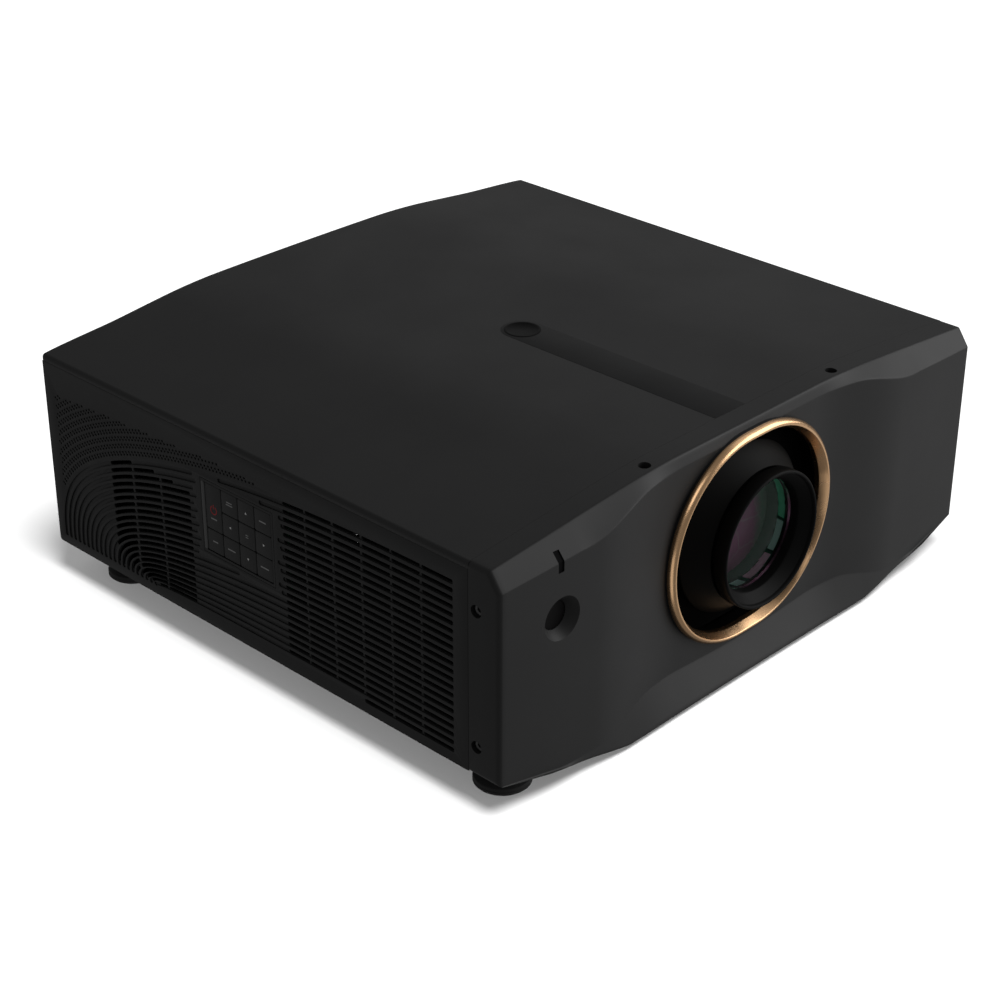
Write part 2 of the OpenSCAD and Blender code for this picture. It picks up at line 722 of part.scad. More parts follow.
module engine_housing() color([0.45, 0.46, 0.48]) {
    difference() {
        block(-58, 58, -80, 70, 62, 152);
        block(-53, 53, -75, 65, 67, 147);
        rod_y(30, -90, -70);
        rod_y(14, 60, 80, -30, 100);
    }
    for (s = [-1, 1]) block(s * 45 - 6, s * 45 + 6, -20, 40, belly_z + sheet, 62);
}

module dmd_heatsink() color(colour_metal) {
    block(58, 66, -20, 50, 75, 140);
    for (i = [0 : 8]) block(58, 96, -20 + i * 8.5, -18 + i * 8.5, 75, 140);
}

module laser_module() color([0.5, 0.42, 0.32]) {
    block(-200, -112, 70, 150, 32, 112);
    block(-belly_flat, -113, 75, 145, belly_z + sheet, 32);
    // motor of the colour wheel on its bracket
    block(-112, -66, 118, 122, 60, 112);
    difference() {
        rod_y(11, 98, 118, -80, 100);
        rod_y(3.05, 90, 112, -80, 100);
    }
}

module laser_heatsink() color(colour_metal) {
    block(-206, -200, 66, 154, 34, 116);
    for (i = [0 : 12]) block(-231, -205, 66 + i * 7.15, 68 + i * 7.15, 34, 116);
}

module phosphor_wheel() color([0.86, 0.83, 0.5]) {
    rod_y(30, 86, 88, -80, 100);
    rod_y(9, 84, 94, -80, 100);
    rod_y(3, 93, 110, -80, 100);
}

module main_board() color(colour_pcb) {
    block(-92, 152, bay_y - 22, bay_y - 20, 50, 148);
    block(-60, -20, bay_y - 30, bay_y - 22, 90, 130);
    block(20, 60, bay_y - 34, bay_y - 22, 80, 120);
    for (x = [-88, 116]) block(x, x + 4, bay_y - 22, bay_y - 20, belly_z + sheet + 0.1, 51);
}

module power_supply() color(colour_metal) difference() {
    union() {
        block(122, 206, -158, 30, 34, 112);
        block(122, belly_flat, -150, 20, belly_z + sheet, 34);
    }
    for (i = [0 : 12]) block(140, 190, -150 + i * 13, -144 + i * 13, 108, 120);
}

fan_y = -102;
fan_z = 98;
fan_out = [half_w - sheet - 25.2, half_w - sheet - 0.2];

module fan_frame() difference() {
    block(fan_out[0], fan_out[1], fan_y - 60, fan_y + 60, fan_z - 60, fan_z + 60);
    rod_x(57, fan_out[0] - 1, fan_out[1] - 4, fan_y, fan_z);
    difference() {
        rod_x(57, fan_out[1] - 5, fan_out[1] + 1, fan_y, fan_z);
        rod_x(20, fan_out[1] - 6, fan_out[1] + 2, fan_y, fan_z);
        for (a = [45, 135]) translate([fan_out[1] - 2, fan_y, fan_z]) rotate([a, 0, 0])
            cube([4, 116, 5], center = true);
    }
    rod_x(2.05, fan_out[1] - 6, fan_out[1] - 1, fan_y, fan_z);
}

module fan_rotor() {
    rod_x(19, fan_out[0] + 2, fan_out[1] - 4.6, fan_y, fan_z);
    rod_x(2, fan_out[1] - 5, fan_out[1] - 1.5, fan_y, fan_z);
    for (k = [0 : 8]) translate([fan_out[0] + 11, fan_y, fan_z]) rotate([k * 40, 0, 0])
        translate([0, 36, 0]) rotate([0, 32, 0]) cube([17, 37, 1.8], center = true);
}

module fan_frames() color(colour_dark) {
    fan_frame();
    mirror([1, 0, 0]) fan_frame();
}

module exhaust_fan_rotor() color(colour_dark) fan_rotor();
module intake_fan_rotor() color(colour_dark) mirror([1, 0, 0]) fan_rotor();

module io_ports() color(colour_metal) {
    for (p = port_list) difference() {
        block(p[0], p[0] + p[2], bay_y - 20, bay_y + 1, p[1], p[1] + p[3]);
        block(p[0] + 1.4, p[0] + p[2] - 1.4, bay_y - 8, bay_y + 2, p[1] + 1.4, p[1] + p[3] - 1.4);
    }
    for (p = jack_list) difference() {
        rod_y(p[2], bay_y - 20, bay_y + 2, p[0], p[1]);
        rod_y(p[2] - 2.4, bay_y - 10, bay_y + 3, p[0], p[1]);
    }
}

module power_inlet() color(colour_dark) difference() {
    union() {
        block(inlet_x - 25, inlet_x + 25, inlet_y - 4, inlet_y, inlet_z - 14, inlet_z + 14);
        block(inlet_x - 14, inlet_x + 14, inlet_y - 26, inlet_y - 3, inlet_z - 10, inlet_z + 10);
    }
    block(inlet_x - 12.2, inlet_x + 12.2, inlet_y - 18, inlet_y + 1, inlet_z - 8.2, inlet_z + 8.2);
}

// Rocker with a face of two planes, tilted to its off position
module mains_switch() color(colour_dark) translate([0, switch_y, inlet_z]) {
    along_x(switch_x - 7.6, switch_x + 7.6) rotate([0, 0, 7])
        polygon([[-4, -5], [-4, 5], [8.9, 11], [10.2, 0], [8.9, -11]]);
    rod_x(1.5, switch_x - 11, switch_x + 11, 0, 0);
}

top_cover();
front_cover();
left_panel();
right_panel();
rear_panel();
base_pan();
lens_trim_ring();
lens_shroud();
top_trim_strip();
top_badge();
ir_window();
status_light();
casing_screws();
keypad_frame();
keypad_board();
key_power();
key_input();
key_up();
key_menu();
key_left();
key_enter();
key_right();
key_lens();
key_shutter();
key_down();
key_source();
foot_pad_fl();
foot_pad_fr();
foot_pad_rl();
foot_pad_rr();
foot_screw_fl();
foot_screw_fr();
foot_screw_rl();
foot_screw_rr();
lens_barrel();
lens_skirt();
lens_bezel();
front_lens();
inner_lenses();
focus_ring();
zoom_ring();
focus_pinion();
zoom_pinion();
lens_motors();
lens_carriage();
shift_stage();
shift_bracket();
engine_housing();
laser_module();
laser_heatsink();
phosphor_wheel();
dmd_heatsink();
main_board();
power_supply();
fan_frames();
intake_fan_rotor();
exhaust_fan_rotor();
io_ports();
power_inlet();
mains_switch();
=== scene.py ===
"""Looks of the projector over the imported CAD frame: casing, grilles, lens, keypad, feet and studio.

Lengths in this file are millimetres in the CAD frame (+Z up, lens towards -Y); make() turns them into metres.
"""

import json
import math

import bmesh
import bpy
from mathutils import Matrix, Vector


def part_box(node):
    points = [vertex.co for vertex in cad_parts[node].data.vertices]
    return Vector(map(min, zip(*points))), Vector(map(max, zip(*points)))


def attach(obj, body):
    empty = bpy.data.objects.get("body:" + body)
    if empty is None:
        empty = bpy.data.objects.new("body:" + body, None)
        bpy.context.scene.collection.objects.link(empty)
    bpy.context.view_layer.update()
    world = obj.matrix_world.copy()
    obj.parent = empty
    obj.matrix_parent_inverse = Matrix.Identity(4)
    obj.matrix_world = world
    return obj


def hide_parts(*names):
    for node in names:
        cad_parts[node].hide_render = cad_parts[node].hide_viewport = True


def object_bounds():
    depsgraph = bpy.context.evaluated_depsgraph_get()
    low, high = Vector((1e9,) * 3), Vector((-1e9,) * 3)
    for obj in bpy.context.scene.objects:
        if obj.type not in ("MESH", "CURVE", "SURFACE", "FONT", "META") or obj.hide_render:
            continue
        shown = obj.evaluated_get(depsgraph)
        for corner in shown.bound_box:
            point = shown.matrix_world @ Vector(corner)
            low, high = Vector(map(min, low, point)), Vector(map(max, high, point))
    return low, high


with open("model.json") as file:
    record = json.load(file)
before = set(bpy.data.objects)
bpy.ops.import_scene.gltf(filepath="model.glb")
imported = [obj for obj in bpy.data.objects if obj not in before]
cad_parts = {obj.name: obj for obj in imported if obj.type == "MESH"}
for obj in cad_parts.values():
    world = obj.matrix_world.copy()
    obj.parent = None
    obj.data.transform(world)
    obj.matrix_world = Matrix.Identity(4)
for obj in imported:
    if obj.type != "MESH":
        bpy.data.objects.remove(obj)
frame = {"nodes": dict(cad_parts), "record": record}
low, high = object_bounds()

MM = 0.001
HALF_W = high.x / MM
FRONT_Y = low.y / MM
REAR_Y = high.y / MM
TOP_Z = high.z / MM


def node_box(node):
    """Lowest and highest corner of a CAD node in millimetres."""
    a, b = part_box(node)
    return a / MM, b / MM


# ---- shape of the casing ------------------------------------------------------------------------

CROWN_FLAT = 105
CROWN_DROP = 12
SHOULDER_R = 2.5
BELLY_FLAT = 127
BELLY_Z = 4
SIDE_LOW_Z = 27
SEAM_Z = 170
SEAM_Y = node_box("front_cover")[1].y
HOLLOW_Y, RIDGE_Y, CORNER_Y = -211, -222.4, -217.5
HOLLOW_X, HOLLOW_RUN = 68, 90
RIDGE_X = 158
RIDGE_SOFT = 60
BROW_MIDDLE, BROW_DEEPER, BROW_RUN = 7.7, 13.0, 66
BROW_TIP_X, BROW_TIP_SLOPE = 175, 0.065
CHIN_MIDDLE_Z, CHIN_RISE, CHIN_FALL = 25, 4.4, 12.4
CHIN_PEAK_X, CHIN_RISE_RUN, CHIN_FALL_RUN = 100, 110, 58
CHIN_Y, CHIN_SWEEP, CHIN_SWEEP_X, CHIN_SWEEP_RUN = -224.4, 2.0, 132, 45
FLARE_X, FLARE = 200, 4.6
REAR_BOW = 8
CREASE_SOFT = 28
REAR_TOP_R = 8
CORNER_R = 3
WALL = 3
GAP = 0.3


def s_curve(t):
    """0 below 0, 1 above 1, and a smooth S between."""
    t = min(1.0, max(0.0, t))
    return t * t * (3 - 2 * t)


def crown(x):
    """Height of the flat-topped crown at x."""
    slope = CROWN_DROP / (HALF_W - SHOULDER_R - CROWN_FLAT)
    past = abs(x) - CROWN_FLAT
    if past < -CREASE_SOFT:
        return TOP_Z
    if past < CREASE_SOFT:
        return TOP_Z - slope * (past + CREASE_SOFT) ** 2 / (4 * CREASE_SOFT)
    return TOP_Z - slope * past


def belly(x):
    """Height of the underside at x."""
    return BELLY_Z + max(0.0, abs(x) - BELLY_FLAT) * (SIDE_LOW_Z - BELLY_Z) / (HALF_W - BELLY_FLAT)


def rear_line(x):
    """Y of the bowed rear panel at x."""
    return REAR_Y - REAR_BOW * (x / HALF_W) ** 2


def face_y(x):
    """Y of the front face: hollow beside the lens, with a ridge on each side."""
    hollow = HOLLOW_Y + (RIDGE_Y - HOLLOW_Y) * s_curve((abs(x) - HOLLOW_X) / HOLLOW_RUN)
    slant = (CORNER_Y - RIDGE_Y) / (HALF_W - RIDGE_X)
    past = abs(x) - RIDGE_X + RIDGE_SOFT
    if past < 0:
        return hollow
    if past < 2 * RIDGE_SOFT:
        return hollow + slant * past * past / (4 * RIDGE_SOFT)
    return RIDGE_Y + slant * (abs(x) - RIDGE_X)


def brow_low(x):
    """Height of the lower edge of the sloped band above the face."""
    depth = BROW_MIDDLE + BROW_DEEPER * s_curve((abs(x) - CROWN_FLAT) / BROW_RUN)
    return TOP_Z - depth - BROW_TIP_SLOPE * max(0, abs(x) - BROW_TIP_X)


def chin_high(x):
    """Height of the upper edge of the sloped band below the face."""
    inner = CHIN_MIDDLE_Z + CHIN_RISE * s_curve(abs(x) / CHIN_RISE_RUN)
    outer = CHIN_MIDDLE_Z + CHIN_RISE - CHIN_FALL * s_curve((abs(x) - CHIN_PEAK_X) / CHIN_FALL_RUN)
    return max(belly(x) + 0.5, inner if abs(x) < CHIN_PEAK_X else outer)


def chin_low_y(x):
    """Y of the lower edge of that band."""
    flare = FLARE * max(0, abs(x) - FLARE_X) / (HALF_W - FLARE_X)
    return CHIN_Y + CHIN_SWEEP * s_curve((abs(x) - CHIN_SWEEP_X) / CHIN_SWEEP_RUN) + flare


# ---- mesh helpers -------------------------------------------------------------------------------


def make(name, points, faces, material, body="root", slot="casing", sharp=34):
    """An object from points in millimetres, shaded smooth below the sharp angle, riding on a body."""
    mesh = bpy.data.meshes.new(name)
    mesh.from_pydata([Vector(p) * MM for p in points], [], faces)
    return settle(name, mesh, material, body, sharp)


def settle(name, mesh, material, body="root", sharp=34):
    """Cleans a mesh that is already in metres and puts it in the scene."""
    bm = bmesh.new()
    bm.from_mesh(mesh)
    bmesh.ops.remove_doubles(bm, verts=bm.verts, dist=1e-6)
    bmesh.ops.recalc_face_normals(bm, faces=bm.faces)
    bm.to_mesh(mesh)
    bm.free()
    mesh.polygons.foreach_set("use_smooth", [True] * len(mesh.polygons))
    mesh.set_sharp_from_angle(angle=math.radians(sharp))
    obj = bpy.data.objects.new(name, mesh)
    bpy.context.scene.collection.objects.link(obj)
    mesh.materials.append(material)
    if body:
        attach(obj, body)
    return obj


def sharpen(obj, angle):
    """Smooth shading that breaks above an angle."""
    obj.data.polygons.foreach_set("use_smooth", [True] * len(obj.data.polygons))
    obj.data.set_sharp_from_angle(angle=math.radians(angle))


def weigh_normals(obj):
    """Keeps wide flat faces flat beside narrow fillets."""
    modifier = obj.modifiers.new("normals", "WEIGHTED_NORMAL")
    modifier.keep_sharp = True
    modifier.weight = 50


def apply_modifiers(obj):
    """Turns the modified shape into the object's own mesh."""
    graph = bpy.context.evaluated_depsgraph_get()
    mesh = bpy.data.meshes.new_from_object(obj.evaluated_get(graph))
    obj.modifiers.clear()
    obj.data = mesh


def cut(obj, tool, operation="DIFFERENCE"):
    """Boolean with another object, which is used up."""
    modifier = obj.modifiers.new("cut", "BOOLEAN")
    modifier.object = tool
    modifier.operation = operation
    modifier.solver = "EXACT"
    apply_modifiers(obj)
    bpy.data.objects.remove(tool)


def loft(rings, closed_ends=True):
    """Points and faces through rings of equal length."""
    n = len(rings[0])
    points = [p for ring in rings for p in ring]
    faces = []
    for k in range(len(rings) - 1):
        for i in range(n):
            j = (i + 1) % n
            faces.append((k * n + i, k * n + j, (k + 1) * n + j, (k + 1) * n + i))
    if closed_ends:
        last = (len(rings) - 1) * n
        faces.append(tuple(reversed(range(n))))
        faces.append(tuple(range(last, last + n)))
    return points, faces


def fillet(corners, radii, steps=4):
    """A closed outline with its corners rounded; radii shrink where an edge is too short for them."""
    outline = []
    count = len(corners)
    for i, corner in enumerate(corners):
        here = Vector(corner)
        to_last = Vector(corners[i - 1]) - here
        to_next = Vector(corners[(i + 1) % count]) - here
        reach = 0.45 * min(to_last.length, to_next.length)
        half = to_last.angle(to_next) / 2
        tangent = min(max(radii[i] / math.tan(half), min(0.6, radii[i])), reach)
        a, b = to_last.normalized() * tangent, to_next.normalized() * tangent
        for k in range(steps + 1):
            t = k / steps
            outline.append(here + a * (1 - t) ** 2 + b * t ** 2)
    return outline


def held(outline, reach=1.2):
    """The same outline with points beside each corner, so that shading stays flat between corners."""
    result = []
    for i, p in enumerate(outline):
        q = outline[(i + 1) % len(outline)]
        result.append(p)
        if (q - p).length > 3 * reach:
            step = (q - p).normalized() * reach
            result += [p + step, q - step]
        else:
            result += [p.lerp(q, 1 / 3), p.lerp(q, 2 / 3)]
    return result


def lathe(profile, x=0.0, z=0.0, axis="Y", segments=96):
    """Points and faces of (radius, place along the axis) pairs turned round an axis through x, z."""
    rings = []
    for k in range(segments):
        a = 2 * math.pi * k / segments
        ring = []
        for radius, along in profile:
            u, v = radius * math.cos(a), radius * math.sin(a)
            ring.append((x + u, along, z + v) if axis == "Y" else (x + u, z + v, along))
        rings.append(ring)
    n = len(profile)
    points = [p for ring in rings for p in ring]
    faces = []
    for k in range(segments):
        m = (k + 1) % segments
        for i in range(n - 1):
            faces.append((k * n + i, k * n + i + 1, m * n + i + 1, m * n + i))
    return points, faces


def stadium(rx, rz, inset, segments=48):
    """Flat-sided oval round the optical axis, set in by a distance, in X and Z."""
    centre, radius = rx - rz, rz - inset
    outline = []
    for side in (1, -1):
        for k in range(segments + 1):
            a = math.pi * (k / segments - 0.5)
            outline.append((side * (centre + radius * math.cos(a)), LENS_Z + side * radius * math.sin(a)))
    return outline


def oval_band(profile, rx, rz):
    """Points and faces of a closed (inset, y) profile swept round the flat-sided oval."""
    rings = [[(x, y, z) for x, z in stadium(rx, rz, inset)] for inset, y in profile]
    rings.append(rings[0])
    return loft(rings, closed_ends=False)


def block(x0, x1, y0, y1, z0, z1):
    """Points and faces of a box."""
    return loft([[(x, y0, z0), (x, y1, z0), (x, y1, z1), (x, y0, z1)] for x in (x0, x1)])


def rod(radius, start, end, segments=40):
    """Points and faces of a round bar between two places, with a radius at each."""
    start, end = Vector(start), Vector(end)
    along = (end - start).normalized()
    across = along.orthogonal().normalized()
    other = along.cross(across)
    ring = [2 * math.pi * k / segments for k in range(segments)]
    return loft([
        [tuple(at + (across * math.cos(a) + other * math.sin(a)) * r) for a in ring]
        for at, r in ((start, radius[0]), (end, radius[1]))
    ])


def prism_y(outline, y0, y1):
    """Points and faces of an X and Z outline extruded along Y."""
    return loft([[(x, y, z) for x, z in outline] for y in (y0, y1)])


def plate(name, outlines, thickness, bevel):
    """Points and faces of a flat plate with holes: outlines in (u, v), with w centred on its middle."""
    curve = bpy.data.curves.new(name, "CURVE")
    curve.dimensions = "2D"
    curve.fill_mode = "BOTH"
    curve.extrude = thickness / 2 - bevel
    curve.bevel_depth = bevel
    curve.bevel_resolution = 1
    curve.offset = -bevel
    for outline in outlines:
        spline = curve.splines.new("POLY")
        spline.points.add(len(outline) - 1)
        for point, (u, v) in zip(spline.points, outline):
            point.co = (u, v, 0, 1)
        spline.use_cyclic_u = True
    obj = bpy.data.objects.new(name, curve)
    bpy.context.scene.collection.objects.link(obj)
    graph = bpy.context.evaluated_depsgraph_get()
    mesh = bpy.data.meshes.new_from_object(obj.evaluated_get(graph))
    bpy.data.objects.remove(obj)
    points = [tuple(v.co) for v in mesh.vertices]
    faces = [tuple(p.vertices) for p in mesh.polygons]
    return points, faces


# ---- materials ----------------------------------------------------------------------------------


class Shader:
    """A Principled material with small helpers for its procedural detail."""

    def __init__(self, name, colour, roughness, metallic=0.0, specular=0.5):
        self.material = bpy.data.materials.new(name)
        self.material.use_nodes = True
        self.tree = self.material.node_tree
        self.surface = self.tree.nodes["Principled BSDF"]
        self.surface.inputs["Base Color"].default_value = (*colour, 1)
        self.surface.inputs["Roughness"].default_value = roughness
        self.surface.inputs["Metallic"].default_value = metallic
        self.surface.inputs["Specular IOR Level"].default_value = specular
        self.colour = colour
        self.roughness = roughness
        coordinates = self.tree.nodes.new("ShaderNodeTexCoord")
        self.place = coordinates.outputs["Object"]

    def stretch(self, scale):
        mapping = self.tree.nodes.new("ShaderNodeMapping")
        mapping.inputs["Scale"].default_value = scale
        self.tree.links.new(self.place, mapping.inputs["Vector"])
        return mapping.outputs["Vector"]

    def noise(self, scale, detail=3, stretch=(1, 1, 1)):
        node = self.tree.nodes.new("ShaderNodeTexNoise")
        node.inputs["Scale"].default_value = scale
        node.inputs["Detail"].default_value = detail
        self.tree.links.new(self.stretch(stretch), node.inputs["Vector"])
        return node.outputs["Fac"]

    def span(self, value, low_to, high_to, low_from=0.3, high_from=0.7):
        node = self.tree.nodes.new("ShaderNodeMapRange")
        node.inputs["From Min"].default_value = low_from
        node.inputs["From Max"].default_value = high_from
        node.inputs["To Min"].default_value = low_to
        node.inputs["To Max"].default_value = high_to
        self.tree.links.new(value, node.inputs["Value"])
        return node.outputs["Result"]

    def mottle(self, scale=9, strength=0.04):
        """Slow change of the colour over the surface."""
        mix = self.tree.nodes.new("ShaderNodeMix")
        mix.data_type = "RGBA"
        mix.inputs["A"].default_value = (*[c * (1 - strength) for c in self.colour], 1)
        mix.inputs["B"].default_value = (*[min(1, c * (1 + strength)) for c in self.colour], 1)
        self.tree.links.new(self.span(self.noise(scale), 0, 1), mix.inputs["Factor"])
        self.tree.links.new(mix.outputs["Result"], self.surface.inputs["Base Color"])
        return self

    def smudge(self, scale=14, spread=0.025, stretch=(1, 1, 1)):
        """Slow change of the roughness."""
        low_to, high_to = self.roughness - spread, self.roughness + spread
        result = self.span(self.noise(scale, 4, stretch), low_to, high_to)
        self.tree.links.new(result, self.surface.inputs["Roughness"])
        return self

    def grain(self, scale=2200, height=0.00002, stretch=(1, 1, 1)):
        """Fine bumps, as moulded or machined."""
        bump = self.tree.nodes.new("ShaderNodeBump")
        bump.inputs["Strength"].default_value = 0.6
        bump.inputs["Distance"].default_value = height
        self.tree.links.new(self.noise(scale, 2, stretch), bump.inputs["Height"])
        self.tree.links.new(bump.outputs["Normal"], self.surface.inputs["Normal"])
        return self


def moulded(name, colour, roughness=0.55, specular=0.3, grain=0.00003):
    """Moulded plastic, rubber, paint or print, and the painted reflection arcs inside the lens."""
    return Shader(name, colour, roughness, 0, specular).mottle().smudge().grain(1600, grain).material


def machined(name, colour, roughness=0.3, stretch=(1, 1, 1)):
    """Metal with fine tool marks."""
    shader = Shader(name, colour, roughness, 1.0)
    return shader.mottle(30, 0.05).smudge(60, 0.06, stretch).grain(900, 0.000008, stretch).material


CASING = moulded("casing_texture", (0.0115, 0.0115, 0.0117))
PANEL = moulded("panel_texture", (0.0110, 0.0110, 0.0112), 0.58)
KEY = moulded("key_texture", (0.0115, 0.0115, 0.0117), 0.55)
STRIP = Shader("strip_gloss", (0.006, 0.006, 0.0062), 0.55, 0, 0.2).mottle().smudge(20, 0.03).material
SCREW_HEAD = machined("screw_head_black", (0.09, 0.09, 0.09), 0.4)
LENS_BLACK = moulded("lens_black", (0.004, 0.004, 0.004), 0.5, 0.06, 0.00001)
SKIRT = moulded("skirt_satin", (0.004, 0.004, 0.0038), 0.55, 0.06, 0.00001)
LINER = moulded("shroud_satin", (0.0025, 0.0025, 0.0025), 0.7, 0.02)
CHAMPAGNE = Shader("champagne_anodised", (0.60, 0.375, 0.205), 0.27, 1.0)
GOLD = CHAMPAGNE.mottle(30, 0.03).smudge(60, 0.02).material
RUBBER = moulded("foot_rubber", (0.016, 0.016, 0.016), 0.75, 0.3)
PRINT_GREY = moulded("print_grey", (0.22, 0.22, 0.22), 0.6)
PRINT_RED = moulded("print_red", (0.26, 0.012, 0.016), 0.6)
PRINT_WHITE = moulded("print_white", (0.55, 0.55, 0.55), 0.6)
BAR_GREY = moulded("bar_grey", (0.05, 0.05, 0.05), 0.5)
LIGHT_PIPE = moulded("light_pipe_dark", (0.0022, 0.0022, 0.0024), 0.7, 0.04)
WINDOW_TINT = Shader("receiver_window", (0.0036, 0.0033, 0.0035), 0.5, 0, 0.05)
RECEIVER = WINDOW_TINT.mottle(40).smudge(30, 0.02).material

SLOT_MATERIALS = {
    "casing": CASING,
    "keycap": KEY,
    "strip": STRIP,
    "champagne": GOLD,
    "lens_black": LENS_BLACK,
    "receiver": RECEIVER,
    "light_pipe": LIGHT_PIPE,
    "screw_steel": machined("screw_steel", (0.22, 0.22, 0.22), 0.45),
    "foot_rubber": RUBBER,
    "pan_steel": moulded("pan_powder", (0.010, 0.010, 0.0105), 0.6, 0.06),
    "board": moulded("solder_mask", (0.02, 0.12, 0.05), 0.35),
    "ring_alloy": machined("ring_alloy", (0.55, 0.56, 0.58), 0.32),
    "gear_brass": machined("gear_brass", (0.72, 0.52, 0.22), 0.28),
    "motor_can": machined("motor_can", (0.55, 0.55, 0.56), 0.3, (1, 0.1, 1)),
    "bracket_steel": moulded("bracket_powder", (0.03, 0.03, 0.032), 0.5),
    "cast_alloy": machined("cast_alloy", (0.30, 0.31, 0.33), 0.55),
    "fin_alloy": moulded("fin_anodised", (0.006, 0.006, 0.006), 0.75, 0.03),
    "phosphor_disc": moulded("phosphor_coat", (0.75, 0.70, 0.25), 0.5),
    "supply_case": machined("supply_case", (0.12, 0.12, 0.125), 0.45),
    "fan_plastic": moulded("fan_nylon", (0.004, 0.004, 0.0042), 0.6, 0.05),
    "port_metal": machined("port_nickel", (0.60, 0.60, 0.58), 0.3),
    "socket_plastic": moulded("socket_plastic", (0.006, 0.006, 0.0065), 0.45),
}

# ---- top cover ----------------------------------------------------------------------------------

STRIP_LOW, STRIP_HIGH = node_box("top_trim_strip")
STRIP_HALF = STRIP_HIGH.x
STRIP_END = STRIP_HIGH.y - STRIP_HALF
LID_START = SEAM_Y + 0.02
LID_GAP = 0.1
LID_RELIEF = 1.5
LID_RELIEF_X = 150


def strip_outline(half):
    """Round-ended strip in X and Y."""
    start = STRIP_LOW.y + STRIP_HALF - half
    arc = [math.pi * k / 24 for k in range(25)]
    return [(-half, start), (half, start)] + [
        (half * math.cos(a), STRIP_END + half * math.sin(a)) for a in arc
    ]


def fall(distance, radius):
    """How far a rounded edge lies below its flat at a distance from the edge."""
    reach = max(0.0, radius - distance)
    return radius - math.sqrt(radius * radius - reach * reach)


def rear_radius(x):
    """Radius of the lid's rear edge, smaller towards the corners."""
    return 3 + (REAR_TOP_R - 3) * s_curve((HALF_W - CORNER_R - abs(x)) / 70)


def lid_point(x, y):
    """Point of the lid over (x, y), with rounded shoulders, rear edge and rear corners."""
    side, rear = HALF_W - abs(x), rear_line(x) - y
    if side >= CORNER_R or rear >= CORNER_R:
        drop = fall(side, SHOULDER_R) if side < rear else fall(rear, rear_radius(x))
        return Vector((x, y, crown(x) - drop))
    p, q = 1 - side / CORNER_R, 1 - rear / CORNER_R
    u, v = p * math.sqrt(1 - q * q / 2), q * math.sqrt(1 - p * p / 2)
    reach = math.hypot(u, v)
    share = v * v / (reach * reach) if reach else 0.5
    radius = SHOULDER_R + (rear_radius(x) - SHOULDER_R) * share
    bent_x = math.copysign(HALF_W - CORNER_R * (1 - u), x)
    bent_y = rear_line(x) - CORNER_R * (1 - v)
    return Vector((bent_x, bent_y, crown(x) - fall(CORNER_R * (1 - reach), radius)))


def edge_steps(length, count):
    """Distances from an edge, crowded towards it."""
    return [length * (1 - math.cos(math.pi / 2 * k / count)) for k in range(count)]


def top_cover():
    """Crowned lid with a rounded shoulder and a bowed rear edge."""
    xs = [HALF_W - d for d in edge_steps(CORNER_R, 9)]
    span = HALF_W - CORNER_R
    xs += [span * (1 - k / 48) for k in range(48)]
    xs = [-x for x in xs] + [0.0] + xs[::-1]
    points, faces = [], []
    for x in xs:
        start, end = LID_START, rear_line(x)
        flat = end - REAR_TOP_R - start - 0.7
        ys = [start, start + 0.2] + [start + 0.7 + flat * k / 20 for k in range(21)]
        ys += [end - d for d in reversed(edge_steps(REAR_TOP_R, 12))]
        column = [lid_point(x, y) for y in ys]
        relief = LID_RELIEF if abs(column[0].x) < LID_RELIEF_X else LID_GAP
        foot = [Vector((column[0].x, column[0].y, SEAM_Z + relief))]
        heel = [Vector((column[-1].x, column[-1].y, SEAM_Z + LID_GAP))]
        points += foot + column + heel
    n = len(points) // len(xs)
    for i in range(len(xs) - 1):
        faces += [(i * n + j, i * n + j + 1, (i + 1) * n + j + 1, (i + 1) * n + j) for j in range(n - 1)]
    for i in (0, len(xs) - 1):
        base = len(points)
        column = points[i * n:(i + 1) * n]
        points += [Vector((p.x, p.y, SEAM_Z + LID_GAP)) for p in column]
        faces += [(i * n + j, i * n + j + 1, base + j + 1, base + j) for j in range(n - 1)]
    obj = make("top_cover_skin", points, faces, CASING, sharp=35)
    solid = obj.modifiers.new("wall", "SOLIDIFY")
    solid.thickness = WALL * MM
    solid.offset = -1
    apply_modifiers(obj)
    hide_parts("top_cover")


def top_strip():
    """Dark strip flush with the lid, with a softly rounded edge, and the round badge at its end."""
    rings = []
    for inset, z in ((0, STRIP_LOW.z), (0, TOP_Z + 0.04), (0.08, TOP_Z + 0.1), (0.25, TOP_Z + 0.14)):
        rings.append([(x, y, z) for x, y in strip_outline(STRIP_HALF - inset)])
    strip = make("top_strip", *loft(rings), STRIP, slot="strip")
    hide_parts("top_trim_strip")
    r = node_box("top_badge")[1].x
    profile = [(0, TOP_Z + 0.2), (r - 2.2, TOP_Z + 0.2), (r - 1.9, TOP_Z + 0.4), (r - 0.4, TOP_Z + 0.45),
        (r, TOP_Z + 0.3), (r, STRIP_LOW.z)]
    badge = make("badge", *lathe(profile, 0, STRIP_END, "Z"), LENS_BLACK, slot="strip")
    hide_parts("top_badge")


# ---- front cover --------------------------------------------------------------------------------

LENS_Z = 106.5
RING_RX = node_box("lens_trim_ring")[1].x
RING_RZ = node_box("lens_trim_ring")[1].z - LENS_Z
BROW_Y = -208.5
FLANK_R = 3.2
IR_LOW, IR_HIGH = node_box("ir_window")
IR_X, IR_Z = (IR_LOW.x + IR_HIGH.x) / 2, (IR_LOW.z + IR_HIGH.z) / 2
STATUS_X = -192
STATUS_HALF = 2.4
SCREW_DEPTH = 7.1
COVER_SCREWS = [(96, -201), (-96, -201)]
FLANK_SCREWS = [(-198.5, 48), (-198.5, 144)]


